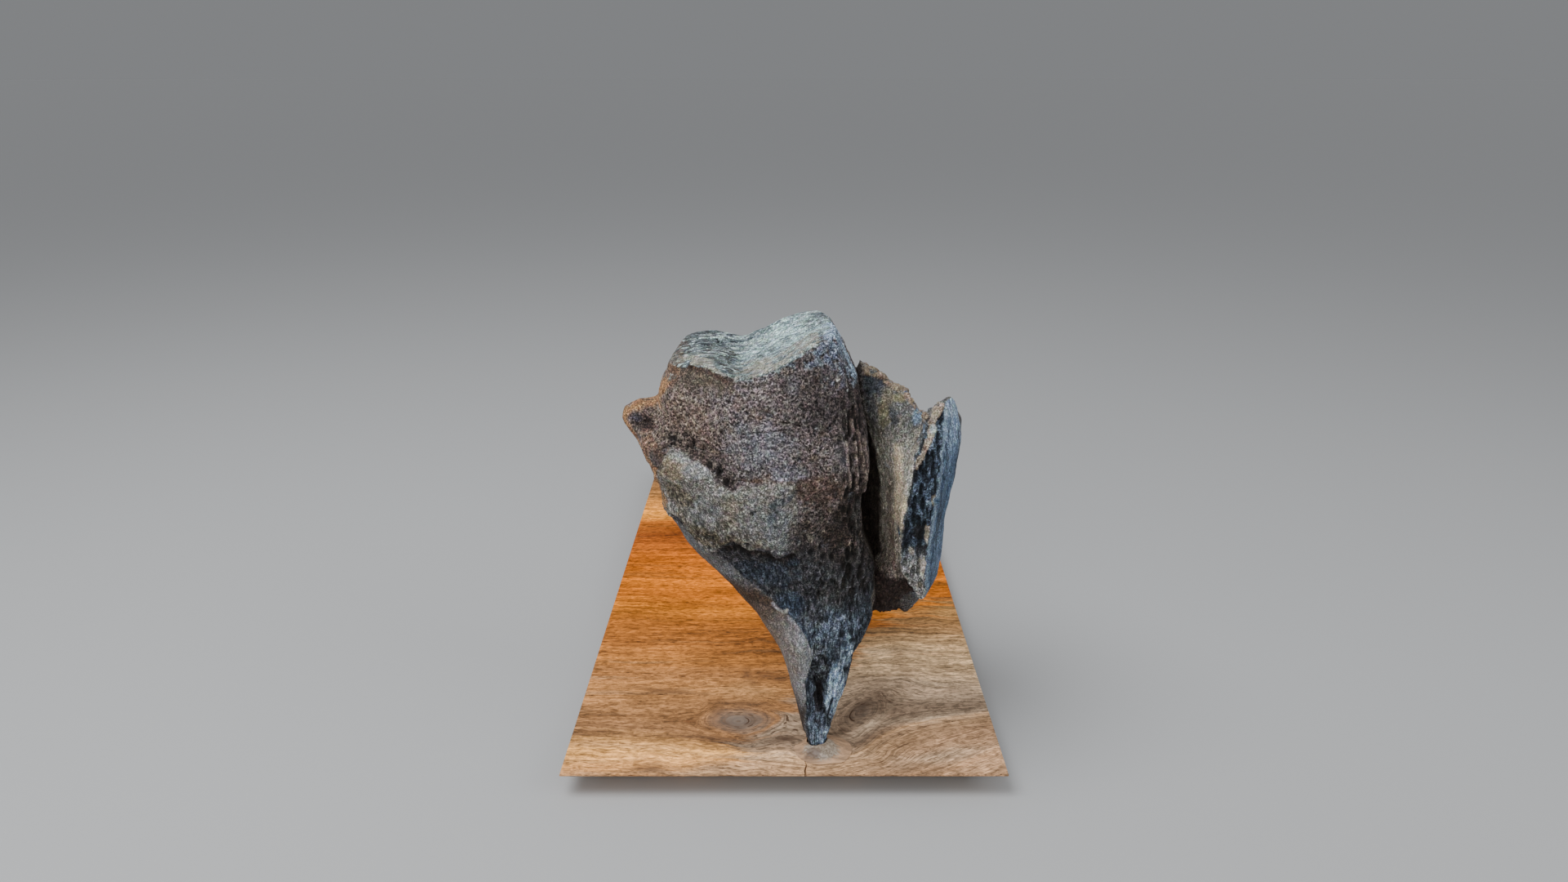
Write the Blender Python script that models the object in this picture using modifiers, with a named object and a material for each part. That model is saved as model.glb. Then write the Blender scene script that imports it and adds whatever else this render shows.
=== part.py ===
"""Fossil mammoth bone fragment on a display board, at life size.

The bone is one piece: a trunk of spongy bone that tapers down to a broken tip, a hollowed joint
surface on top, a spur on the left, a flake of harder bone over the lower left of the front, and
a wall of dense bone on the right that stands off the trunk, with a deep cleft between them.
It stands on its tip, on a wooden board, with a dab of wax round its foot.

Metres, +Z up. The front of the board is at -Y and the board is centred on the origin.
Heights in the bone's profiles are measured from the top of the board.
"""

import math

import bmesh
import bpy
from mathutils import Vector, noise

# Board
BOARD_WIDTH = 0.200
BOARD_LENGTH = 0.400
BOARD_THICKNESS = 0.012
BOARD_LIP = 0.0014
BOARD_UNDERCUT = 0.0145
TOUCHING_GAP = 0.0003

# Wax round the foot
FOOT = Vector((0.0155, -0.1780, 0.0))
FOOT_SOCKET_RADIUS = 0.0066
FOOT_SOCKET_DEPTH = 0.0150
WAX_CENTRE = Vector((0.0185, -0.1820, 0.0))
WAX_RADII = (0.0135, 0.0115)
WAX_HEIGHT = 0.0034
WAX_SWELL = 0.10
WAX_SWELL_RATE = 1.7
WAX_SIDES = 40

# Trunk of the bone: (height, place) along its left, right, front and back.
TRUNK_LEFT = [
    (0.000, 0.0117), (0.010, 0.0090), (0.035, 0.0024), (0.048, -0.0036), (0.060, -0.0122),
    (0.070, -0.0205), (0.079, -0.0300), (0.086, -0.0374), (0.093, -0.0430), (0.103, -0.0480),
    (0.113, -0.0542), (0.121, -0.0548), (0.145, -0.0562), (0.165, -0.0542), (0.176, -0.0492),
    (0.186, -0.0458), (0.200, -0.0425),
]
TRUNK_RIGHT = [
    (0.000, 0.0187), (0.010, 0.0222), (0.020, 0.0258), (0.034, 0.0309), (0.041, 0.0321),
    (0.048, 0.0370), (0.058, 0.0415), (0.079, 0.0417), (0.101, 0.0352), (0.118, 0.0334),
    (0.131, 0.0372), (0.145, 0.0360), (0.158, 0.0338), (0.170, 0.0318), (0.180, 0.0278),
    (0.188, 0.0236), (0.200, 0.0188),
]
TRUNK_FRONT = [
    (0.000, -0.1820), (0.030, -0.1822), (0.058, -0.1815), (0.074, -0.1800), (0.095, -0.1838),
    (0.120, -0.1880), (0.140, -0.1890), (0.160, -0.1862), (0.180, -0.1805), (0.200, -0.1745),
]
TRUNK_BACK = [
    (0.000, -0.1740), (0.010, -0.1682), (0.025, -0.1560), (0.045, -0.1370), (0.065, -0.1150),
    (0.090, -0.0955), (0.120, -0.0880), (0.145, -0.0895), (0.165, -0.0975), (0.180, -0.1085),
    (0.200, -0.1260),
]
# Corners of a level cut through the trunk, as fractions of its width and depth from the front
# left: left side, front left, front, front right, lip of the cleft, right back, back, left back.
TRUNK_CORNERS = [
    (0.00, 0.40), (0.13, 0.15), (0.58, 0.00), (0.88, 0.06), (1.00, 0.22), (0.93, 0.84),
    (0.56, 1.00), (0.10, 0.84),
]
# The same for the neck and the tip.
NECK_CORNERS = [
    (0.00, 0.42), (0.20, 0.02), (0.52, 0.08), (0.82, 0.10), (1.00, 0.48), (0.86, 0.88),
    (0.50, 1.00), (0.14, 0.82),
]
NECK_TOP = 0.048
TRUNK_START = 0.098
TRUNK_HEIGHT = 0.200

# Joint surface on top: height of its front and rear rims across the width, and how deep it is.
CAP_FRONT_RIM = [
    (-0.060, 0.1740), (-0.047, 0.1784), (-0.036, 0.1813), (-0.027, 0.1797), (-0.018, 0.1767),
    (-0.011, 0.1780), (-0.002, 0.1822), (0.008, 0.1879), (0.017, 0.1936), (0.040, 0.1990),
]
CAP_REAR_RIM = [
    (-0.060, 0.1800), (-0.044, 0.1838), (-0.035, 0.1856), (-0.026, 0.1846), (-0.018, 0.1832),
    (-0.011, 0.1862), (-0.002, 0.1906), (0.008, 0.1941), (0.017, 0.1953), (0.040, 0.1940),
]
CAP_FRONT_Y = -0.1800
CAP_REAR_Y = -0.1290
CAP_HOLLOW = 0.0024
CAP_REAR_FALL = 0.55

# Spur on the left: (distance left of the board's middle, lowest, highest, half its depth).
SPUR_SECTIONS = [
    (0.0380, 0.1130, 0.1640, 0.0300), (0.0500, 0.1185, 0.1620, 0.0240),
    (0.0565, 0.1240, 0.1592, 0.0190), (0.0602, 0.1318, 0.1589, 0.0155),
    (0.0640, 0.1400, 0.1582, 0.0122), (0.0685, 0.1467, 0.1565, 0.0084),
    (0.0710, 0.1502, 0.1542, 0.0044),
]
SPUR_Y = -0.1490

# Wall on the right: (height, place) of its faces, from above the board.
WALL_BOTTOM = 0.0400
WALL_TOP = 0.1760
WALL_INNER_BACK = [
    (0.040, 0.0382), (0.066, 0.0382), (0.075, 0.0416), (0.085, 0.0459), (0.112, 0.0460),
    (0.120, 0.0452), (0.136, 0.0416), (0.150, 0.0379), (0.166, 0.0360), (0.176, 0.0350),
]
WALL_INNER_FRONT = [
    (0.040, 0.0400), (0.059, 0.0408), (0.067, 0.0430), (0.079, 0.0512), (0.104, 0.0528),
    (0.126, 0.0545), (0.143, 0.0590), (0.152, 0.0612), (0.160, 0.0575), (0.172, 0.0450),
]
WALL_OUTER = [
    (0.040, 0.0580), (0.053, 0.0655), (0.066, 0.0726), (0.076, 0.0736), (0.089, 0.0736),
    (0.106, 0.0756), (0.114, 0.0766), (0.126, 0.0790), (0.138, 0.0812), (0.145, 0.0812),
    (0.152, 0.0775), (0.160, 0.0690), (0.172, 0.0560),
]
WALL_FRONT_Y = [
    (0.040, -0.1400), (0.060, -0.1470), (0.072, -0.1550), (0.090, -0.1590), (0.130, -0.1600),
    (0.150, -0.1520), (0.160, -0.1380), (0.172, -0.1240),
]
WALL_REAR_Y = [
    (0.040, -0.1150), (0.070, -0.1040), (0.110, -0.0965), (0.150, -0.1000), (0.172, -0.1060),
]
WALL_INNER_BACK_Y = -0.1340
WALL_OUTER_Y = -0.1330
WALL_FRONT_SHARE = 0.62
WALL_FRONT_SLANT = 0.0030
WALL_REAR_TUCK = 0.0100
CLEFT_FLOOR = (0.0330, -0.1130)
WALL_ROOT = (0.0200, -0.0960)
# Broken top edge of the wall from the cleft to the right: its height, and how far forward it is.
# Behind the edge the broken top falls away, and the underside rises towards the back.
WALL_TOP_EDGE = [
    (0.0322, 0.1728), (0.0391, 0.1680), (0.0447, 0.1656), (0.0483, 0.1622), (0.0551, 0.1607),
    (0.0585, 0.1550), (0.0630, 0.1522), (0.0700, 0.1530), (0.0760, 0.1540), (0.0790, 0.1493),
    (0.0813, 0.1457), (0.0950, 0.1300),
]
WALL_CREST_Y = [
    (0.0322, -0.1260), (0.0447, -0.1310), (0.0551, -0.1390), (0.0585, -0.1430), (0.063, -0.1520),
    (0.072, -0.1460), (0.080, -0.1340),
]
WALL_TOP_FALL = 0.55
WALL_UNDERSIDE = 0.0512
WALL_UNDERSIDE_CORNER = (0.0440, -0.1420)
WALL_UNDERSIDE_DROP = 0.32
WALL_UNDERSIDE_RISE = 0.24

# Thick broken edge along the front of the wall, ending above in a blunt horn.
EDGE_BOTTOM = 0.0640
EDGE_TOP = 0.1600
EDGE_LEFT = [
    (0.064, 0.0622), (0.070, 0.0614), (0.077, 0.0558), (0.084, 0.0521), (0.104, 0.0515),
    (0.126, 0.0534), (0.137, 0.0558), (0.143, 0.0582), (0.153, 0.0622), (0.157, 0.0660),
    (0.160, 0.0705),
]
EDGE_RIGHT = [
    (0.064, 0.0655), (0.070, 0.0640), (0.092, 0.0640), (0.122, 0.0671), (0.133, 0.0677),
    (0.150, 0.0692), (0.157, 0.0712), (0.160, 0.0725),
]
EDGE_OUTER = [
    (0.064, 0.0695), (0.072, 0.0722), (0.106, 0.0745), (0.126, 0.0780), (0.142, 0.0800),
    (0.150, 0.0785), (0.155, 0.0768), (0.160, 0.0745),
]
EDGE_FRONT_Y = [
    (0.064, -0.1560), (0.070, -0.1640), (0.078, -0.1680), (0.104, -0.1685), (0.137, -0.1660),
    (0.150, -0.1600), (0.160, -0.1535),
]
EDGE_DEPTH = [(0.064, 0.0160), (0.080, 0.0200), (0.140, 0.0200), (0.152, 0.0120), (0.160, 0.0050)]
EDGE_ROUNDING = 0.0010
EDGE_INNER_STEP = 0.0030
EDGE_ROOT_SHARE = 1.1

# Patches that stand proud of the front: (outline seen from the front, thickness, width of edge).
# A flake of harder bone at the lower left, and the smooth outer skin down the left of the neck.
FLAKE = [
    (-0.0620, 0.1455), (-0.0400, 0.1420), (-0.0300, 0.1370), (-0.0225, 0.1310),
    (-0.0100, 0.1328), (0.0000, 0.1338), (0.0030, 0.1220), (0.0030, 0.1090),
    (-0.0010, 0.0985), (-0.0080, 0.0995), (-0.0215, 0.0965), (-0.0360, 0.0920),
    (-0.0480, 0.0980), (-0.0620, 0.1100),
]
NECK_SKIN = [
    (-0.0360, 0.0770), (-0.0092, 0.0712), (0.0011, 0.0674), (0.0054, 0.0632),
    (0.0091, 0.0582), (0.0127, 0.0485), (0.0112, 0.0366), (0.0093, 0.0246),
    (0.0078, 0.0120), (-0.0060, 0.0120), (-0.0160, 0.0480), (-0.0400, 0.0700),
]
PATCHES = [(FLAKE, 0.0030, 0.0075), (NECK_SKIN, 0.0020, 0.0030)]
PATCHES_BEHIND = -0.1400
PATCH_FACING = (0.05, 0.45)
PATCH_WANDER = 0.0030
PATCH_WANDER_SIZE = 0.0130

# Hollows, pressed in along the surface: (centre, radii, depth). A negative depth swells.
HOLLOWS = [
    ((-0.0600, -0.1640, 0.1500), (0.0090, 0.0120, 0.0090), 0.0026),
    ((-0.0420, -0.1720, 0.1560), (0.0110, 0.0120, 0.0110), 0.0012),
    ((0.0180, -0.1830, 0.0430), (0.0070, 0.0120, 0.0110), 0.0034),
    ((0.0158, -0.1820, 0.0220), (0.0040, 0.0120, 0.0170), 0.0028),
    ((0.0235, -0.1850, 0.1000), (0.0160, 0.0250, 0.0240), 0.0028),
    ((-0.0050, -0.1820, 0.0900), (0.0170, 0.0200, 0.0095), 0.0032),
    ((-0.0340, -0.1780, 0.1440), (0.0150, 0.0200, 0.0065), 0.0020),
    ((0.0060, -0.0880, 0.1350), (0.0190, 0.0400, 0.0620), -0.0045),
    ((-0.0280, -0.0950, 0.1300), (0.0190, 0.0400, 0.0400), 0.0048),
    ((0.0240, -0.0950, 0.1500), (0.0110, 0.0300, 0.0340), 0.0030),
    ((0.0600, -0.1000, 0.1150), (0.0160, 0.0300, 0.0400), 0.0026),
]

CUTTER_CENTRE = Vector((0.0050, -0.1350))
CUTTER_REACH = 0.1050
CUTTER_CELLS = 84
ABOVE_ALL = 0.260
BELOW_ALL = -0.020
RING_POINTS = 72
LEVEL_STEP = 0.0025
VOXEL = 0.0015
ROUGH_DEPTH = 0.0006
ROUGH_SIZE = 0.0100
ROUGH_FROM = (0.004, 0.016)
BONE_TRIANGLES = 10000


def clear_objects():
    for item in list(bpy.data.objects):
        bpy.data.objects.remove(item, do_unlink=True)


def new_collection(name):
    collection = bpy.data.collections.new(name)
    bpy.context.scene.collection.children.link(collection)
    return collection


def material(name, colour, roughness):
    finish = bpy.data.materials.new(name)
    finish.use_nodes = True
    shader = finish.node_tree.nodes["Principled BSDF"]
    shader.inputs["Base Color"].default_value = (*colour, 1.0)
    shader.inputs["Roughness"].default_value = roughness
    shader.inputs["Metallic"].default_value = 0.0
    return finish


def object_from(name, bm, collection):
    """Makes the bmesh a closed object with its faces pointing out."""
    bmesh.ops.recalc_face_normals(bm, faces=bm.faces)
    mesh = bpy.data.meshes.new(name)
    bm.to_mesh(mesh)
    bm.free()
    item = bpy.data.objects.new(name, mesh)
    collection.objects.link(item)
    return item


def profile(points):
    """A smooth function through the points, which never swings past them."""
    xs = [x for x, _ in points]
    ys = [y for _, y in points]
    last = len(xs) - 1
    slopes = [(ys[i + 1] - ys[i]) / (xs[i + 1] - xs[i]) for i in range(last)]
    tangents = [slopes[0]]
    for before, after in zip(slopes, slopes[1:]):
        flat = before * after <= 0.0
        tangents.append(0.0 if flat else 2.0 * before * after / (before + after))
    tangents.append(slopes[-1])

    def value(x):
        if x <= xs[0]:
            return ys[0]
        if x >= xs[last]:
            return ys[last]
        i = max(k for k in range(last) if xs[k] <= x)
        span = xs[i + 1] - xs[i]
        t = (x - xs[i]) / span
        rise = ys[i + 1] - ys[i]
        start = tangents[i] * span
        end = tangents[i + 1] * span
        cubic = start + end - 2.0 * rise
        square = 3.0 * rise - 2.0 * start - end
        return ys[i] + t * (start + t * (square + t * cubic))

    return value


def smooth_step(value, low, high):
    t = min(1.0, max(0.0, (value - low) / (high - low)))
    return t * t * (3.0 - 2.0 * t)


FRONT_RIM = profile(CAP_FRONT_RIM)
REAR_RIM = profile(CAP_REAR_RIM)


def rounded_ring(corners, count):
    """A closed smooth line through the corners, as `count` points."""
    ring = []
    size = len(corners)
    for step in range(count):
        place = step * size / count
        i = int(place)
        t = place - i
        p0, p1, p2, p3 = (Vector(corners[(i + k) % size]) for k in (-1, 0, 1, 2))
        pull = (p2 - p0) * 0.5
        push = (p3 - p1) * 0.5
        ring.append(
            p1 + t * (pull + t * (3.0 * (p2 - p1) - 2.0 * pull - push
                                  + t * (2.0 * (p1 - p2) + pull + push)))
        )
    return ring


def loft(name, rings, collection):
    """Skins closed rings of equal length, one after another, and closes both ends."""
    bm = bmesh.new()
    rows = [[bm.verts.new(point) for point in ring] for ring in rings]
    count = len(rows[0])
    for low, high in zip(rows, rows[1:]):
        for i in range(count):
            j = (i + 1) % count
            bm.faces.new((low[i], low[j], high[j], high[i]))
    bm.faces.new(rows[0])
    bm.faces.new(rows[-1])
    return object_from(name, bm, collection)


def levels(low, high):
    count = math.ceil((high - low) / LEVEL_STEP)
    return [low + (high - low) * step / count for step in range(count + 1)]


def make_trunk(collection):
    left, right, front, back = (
        profile(points) for points in (TRUNK_LEFT, TRUNK_RIGHT, TRUNK_FRONT, TRUNK_BACK)
    )

    def ring(height):
        share = smooth_step(height, NECK_TOP, TRUNK_START)
        width = right(height) - left(height)
        depth = back(height) - front(height)
        corners = []
        for neck, trunk in zip(NECK_CORNERS, TRUNK_CORNERS):
            across = neck[0] + (trunk[0] - neck[0]) * share
            along = neck[1] + (trunk[1] - neck[1]) * share
            corners.append((left(height) + across * width, front(height) + along * depth, height))
        return rounded_ring(corners, RING_POINTS)

    return loft("trunk", [ring(h) for h in levels(TOUCHING_GAP, TRUNK_HEIGHT)], collection)


def make_spur(collection):
    rings = []
    for out, low, high, half_depth in SPUR_SECTIONS:
        middle = (low + high) / 2.0
        half_height = (high - low) / 2.0
        ring = []
        for step in range(RING_POINTS):
            angle = math.tau * step / RING_POINTS
            lift = middle + half_height * math.sin(angle)
            ring.append((-out, SPUR_Y + half_depth * math.cos(angle), lift))
        rings.append(ring)
    loft("spur", rings, collection)


def make_wall(collection):
    inner_back, inner_front, outer, front_y, rear_y = (
        profile(points)
        for points in (WALL_INNER_BACK, WALL_INNER_FRONT, WALL_OUTER, WALL_FRONT_Y, WALL_REAR_Y)
    )

    def ring(height):
        near = front_y(height)
        inner = inner_front(height)
        corners = [
            (inner, near),
            (inner + (outer(height) - inner) * WALL_FRONT_SHARE, near + WALL_FRONT_SLANT),
            (outer(height), WALL_OUTER_Y),
            (outer(height) - WALL_REAR_TUCK, rear_y(height)),
            WALL_ROOT,
            CLEFT_FLOOR,
            (inner_back(height), WALL_INNER_BACK_Y),
        ]
        return rounded_ring([(x, y, height) for x, y in corners], RING_POINTS)

    wall = loft("wall", [ring(h) for h in levels(WALL_BOTTOM, WALL_TOP)], collection)
    edge_height = profile(WALL_TOP_EDGE)
    crest_y = profile(WALL_CREST_Y)

    def top(x, y):
        return edge_height(x) - WALL_TOP_FALL * max(0.0, y - crest_y(x))

    def underside(x, y):
        across = x - WALL_UNDERSIDE_CORNER[0]
        back = max(0.0, y - WALL_UNDERSIDE_CORNER[1])
        return WALL_UNDERSIDE - WALL_UNDERSIDE_DROP * across + WALL_UNDERSIDE_RISE * back

    cut_away(wall, top, ABOVE_ALL, collection)
    cut_away(wall, underside, BELOW_ALL, collection)


def make_wall_edge(collection):
    left, right, outer, front_y, depth = (
        profile(points)
        for points in (EDGE_LEFT, EDGE_RIGHT, EDGE_OUTER, EDGE_FRONT_Y, EDGE_DEPTH)
    )

    def ring(height):
        near = front_y(height)
        corners = [
            (left(height), near + EDGE_ROUNDING),
            ((left(height) + right(height)) / 2.0, near),
            (right(height), near + EDGE_ROUNDING),
            (outer(height), near + depth(height)),
            ((left(height) + outer(height)) / 2.0, near + EDGE_ROOT_SHARE * depth(height)),
            (left(height) + EDGE_INNER_STEP, near + depth(height)),
        ]
        return rounded_ring([(x, y, height) for x, y in corners], RING_POINTS)

    loft("wall_edge", [ring(h) for h in levels(EDGE_BOTTOM, EDGE_TOP)], collection)


def cap_height(x, y):
    """Joint surface: a saddle between a front and a rear rim, hollowed, falling behind them."""
    t = (y - CAP_FRONT_Y) / (CAP_REAR_Y - CAP_FRONT_Y)
    inside = min(1.0, max(0.0, t))
    front = FRONT_RIM(x)
    height = front + (REAR_RIM(x) - front) * inside
    height -= CAP_HOLLOW * 4.0 * inside * (1.0 - inside)
    return height - CAP_REAR_FALL * max(0.0, y - CAP_REAR_Y)


def cut_away(item, height_at, far, collection):
    """Cuts off what lies between the surface height_at(x, y) and the level `far`."""
    bm = bmesh.new()
    bmesh.ops.create_grid(bm, x_segments=CUTTER_CELLS, y_segments=CUTTER_CELLS, size=1.0)
    for vert in bm.verts:
        x = CUTTER_CENTRE.x + vert.co.x * CUTTER_REACH
        y = CUTTER_CENTRE.y + vert.co.y * CUTTER_REACH
        vert.co = (x, y, height_at(x, y))
    far_side = bmesh.ops.extrude_face_region(bm, geom=bm.faces[:])
    for part in far_side["geom"]:
        if isinstance(part, bmesh.types.BMVert):
            part.co.z = far
    cutter = object_from("cutter", bm, collection)
    boolean(item, "DIFFERENCE", cutter)
    bpy.data.objects.remove(cutter)


def boolean(item, operation, other=None, group=None):
    """Applies one Boolean to the item, with another object or a whole collection."""
    step = item.modifiers.new(operation.lower(), "BOOLEAN")
    step.operation = operation
    step.solver = "EXACT"
    if group is None:
        step.object = other
    else:
        step.operand_type = "COLLECTION"
        step.collection = group
    apply_modifiers(item)


def apply_modifiers(item):
    bpy.context.view_layer.update()
    graph = bpy.context.evaluated_depsgraph_get()
    mesh = bpy.data.meshes.new_from_object(item.evaluated_get(graph))
    item.modifiers.clear()
    item.data = mesh


def remesh(item, voxel):
    step = item.modifiers.new("even_skin", "REMESH")
    step.mode = "VOXEL"
    step.voxel_size = voxel
    apply_modifiers(item)


def keep_largest(item):
    """Drops every loose scrap and sealed hollow."""
    bm = bmesh.new()
    bm.from_mesh(item.data)
    left = set(bm.verts)
    shells = []
    while left:
        shell = [left.pop()]
        for vert in shell:
            for edge in vert.link_edges:
                other = edge.other_vert(vert)
                if other in left:
                    left.remove(other)
                    shell.append(other)
        shells.append(shell)
    shells.sort(key=len)
    for shell in shells[:-1]:
        bmesh.ops.delete(bm, geom=shell, context="VERTS")
    bm.to_mesh(item.data)
    bm.free()


def inside_distance(outline, x, z):
    """Distance from the point to the outline's edge, positive inside."""
    nearest = 1.0
    inside = False
    point = Vector((x, z))
    for i, start in enumerate(outline):
        a = Vector(start)
        b = Vector(outline[(i + 1) % len(outline)])
        along = min(1.0, max(0.0, (point - a).dot(b - a) / (b - a).length_squared))
        nearest = min(nearest, (point - a - along * (b - a)).length)
        if (a.y > z) != (b.y > z) and x < a.x + (z - a.y) * (b.x - a.x) / (b.y - a.y):
            inside = not inside
    return nearest if inside else -nearest


def carve(item):
    """Raises the patches, presses the hollows and roughens the surface."""
    mesh = item.data
    places = [vert.co.copy() for vert in mesh.vertices]
    normals = [vert.normal.copy() for vert in mesh.vertices]
    for vert, place, normal in zip(mesh.vertices, places, normals):
        facing = smooth_step(-normal.y, *PATCH_FACING)
        if facing > 0.0 and place.y < PATCHES_BEHIND:
            wander = PATCH_WANDER * noise.noise_vector(place / PATCH_WANDER_SIZE)
            for outline, thickness, edge in PATCHES:
                margin = inside_distance(outline, place.x + wander.x, place.z + wander.z)
                vert.co.y -= thickness * facing * smooth_step(margin, -edge / 2.0, edge / 2.0)
        for centre, radii, depth in HOLLOWS:
            away = place - Vector(centre)
            reach = sum((away[axis] / radii[axis]) ** 2 for axis in range(3))
            if reach < 1.0:
                vert.co -= normal * (depth * (1.0 - reach) ** 2)
        lump = noise.fractal(place / ROUGH_SIZE, 0.6, 2.0, 3)
        vert.co += normal * (ROUGH_DEPTH * lump * smooth_step(place.z, *ROUGH_FROM))


def thin_out(item, triangles):
    """Brings the mesh down to about the given number of triangles."""
    even = item.modifiers.new("triangles", "TRIANGULATE")
    even.min_vertices = 4
    apply_modifiers(item)
    step = item.modifiers.new("thin", "DECIMATE")
    step.decimate_type = "COLLAPSE"
    step.ratio = triangles / len(item.data.polygons)
    apply_modifiers(item)


def make_bone(collection):
    bone = make_trunk(collection)
    cut_away(bone, cap_height, ABOVE_ALL, collection)
    forms = new_collection("bone_forms")
    make_wall(forms)
    make_wall_edge(forms)
    make_spur(forms)
    boolean(bone, "UNION", group=forms)
    for item in list(forms.objects):
        bpy.data.objects.remove(item)
    bpy.data.collections.remove(forms)
    remesh(bone, VOXEL)
    keep_largest(bone)
    carve(bone)
    thin_out(bone, BONE_TRIANGLES)
    keep_largest(bone)
    bone.name = "fossil_bone"
    bone.data.name = "fossil_bone"
    bone.location.z = BOARD_THICKNESS
    bone.data.shade_smooth()
    bone.data.materials.append(material("fossil bone", (0.105, 0.088, 0.080), 0.72))


def make_board(collection):
    """A plank whose edge is a thin lip, cut back underneath."""
    bm = bmesh.new()
    bmesh.ops.create_cube(bm, size=1.0)
    for vert in bm.verts:
        vert.co.x *= BOARD_WIDTH
        vert.co.y *= BOARD_LENGTH
        vert.co.z = BOARD_THICKNESS if vert.co.z > 0.0 else 0.0
    bmesh.ops.bisect_plane(
        bm,
        geom=bm.verts[:] + bm.edges[:] + bm.faces[:],
        plane_co=(0.0, 0.0, BOARD_THICKNESS - BOARD_LIP),
        plane_no=(0.0, 0.0, 1.0),
    )
    for vert in bm.verts:
        if vert.co.z < TOUCHING_GAP:
            vert.co.x -= math.copysign(BOARD_UNDERCUT, vert.co.x)
            vert.co.y -= math.copysign(BOARD_UNDERCUT, vert.co.y)
    board = object_from("stand_board", bm, collection)
    board.data.materials.append(material("oiled wood", (0.420, 0.235, 0.095), 0.45))


def make_wax(collection):
    """A low dab of wax with a socket that the tip stands in."""
    bm = bmesh.new()
    bmesh.ops.create_uvsphere(bm, u_segments=WAX_SIDES, v_segments=WAX_SIDES // 2, radius=1.0)
    for vert in bm.verts:
        swell = 1.0 + WAX_SWELL * noise.noise(vert.co * WAX_SWELL_RATE)
        vert.co.x *= WAX_RADII[0] * swell
        vert.co.y *= WAX_RADII[1] * swell
        vert.co.z *= WAX_HEIGHT
    bmesh.ops.bisect_plane(
        bm,
        geom=bm.verts[:] + bm.edges[:] + bm.faces[:],
        plane_co=(0.0, 0.0, 0.0),
        plane_no=(0.0, 0.0, 1.0),
        clear_inner=True,
    )
    rim = [edge for edge in bm.edges if edge.is_boundary]
    bmesh.ops.contextual_create(bm, geom=rim)
    wax = object_from("stand_wax", bm, collection)
    wax.location = WAX_CENTRE + Vector((0.0, 0.0, BOARD_THICKNESS + TOUCHING_GAP))
    bpy.ops.mesh.primitive_cylinder_add(
        vertices=WAX_SIDES,
        radius=FOOT_SOCKET_RADIUS,
        depth=2.0 * FOOT_SOCKET_DEPTH,
        location=FOOT + Vector((0.0, 0.0, BOARD_THICKNESS)),
    )
    socket = bpy.context.object
    boolean(wax, "DIFFERENCE", socket)
    bpy.data.objects.remove(socket)
    wax.data.shade_smooth()
    wax.data.materials.append(material("museum wax", (0.330, 0.285, 0.225), 0.55))


clear_objects()
model = new_collection("mammoth_bone_fragment")
make_board(model)
make_wax(model)
make_bone(model)
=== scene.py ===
"""A life-size museum model of a fossil mammoth bone fragment, which stands on its broken tip on
a board of oiled hardwood."""

import math

import bmesh
import bpy
import numpy as np
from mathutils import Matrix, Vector


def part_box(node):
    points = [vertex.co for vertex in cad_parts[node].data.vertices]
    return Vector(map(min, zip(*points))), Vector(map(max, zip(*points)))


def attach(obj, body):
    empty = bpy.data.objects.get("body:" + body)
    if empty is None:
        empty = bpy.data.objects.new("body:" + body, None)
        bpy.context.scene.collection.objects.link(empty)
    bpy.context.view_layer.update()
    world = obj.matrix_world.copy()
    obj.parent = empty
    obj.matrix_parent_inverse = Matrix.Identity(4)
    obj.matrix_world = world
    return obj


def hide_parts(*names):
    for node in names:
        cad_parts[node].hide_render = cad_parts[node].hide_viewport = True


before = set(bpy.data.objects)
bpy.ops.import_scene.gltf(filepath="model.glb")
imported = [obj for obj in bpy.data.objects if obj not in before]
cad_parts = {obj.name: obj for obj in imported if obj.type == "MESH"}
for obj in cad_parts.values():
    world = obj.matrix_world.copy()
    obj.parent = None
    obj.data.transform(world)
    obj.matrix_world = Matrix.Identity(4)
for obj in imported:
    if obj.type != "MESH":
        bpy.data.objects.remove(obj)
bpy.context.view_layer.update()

# The board is a plank of oiled hardwood, sawn so that the grain runs across it and round two
# knots at the front, with a rusty heart and a paler sapwood corner. Its edge is cut back
# underneath, so that only a thin lip shows, and a drying crack runs in from the front edge.
mm = 0.001
board_low, board_high = (np.array(corner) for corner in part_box("stand_board"))
half_width, half_length = (board_high - board_low)[:2] / 2.0
board_top = float(board_high[2])
plank_cells = (160, 320)
board_edge = [(0.12, 0.1), (0, 0.45), (0, 1.05), (0.3, 1.4), (14.2, 11.65), (14.8, 12)]
edge_ease = 0.5 * mm
crack_x = 9.6 * mm
crack_depth = 1.6 * mm
crack_widening = 0.12
cut_past_edge = 0.2
cut_above = 1.0
crack_path = [(0, -15), (-0.4, -10.8), (0.5, -6.6), (-0.2, -3), (0, 0)]
knots = [((-22, -159), 13, 1.55, 0, 1), ((38, -151), 10, 1.9, 0.95, 0.45)]
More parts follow.
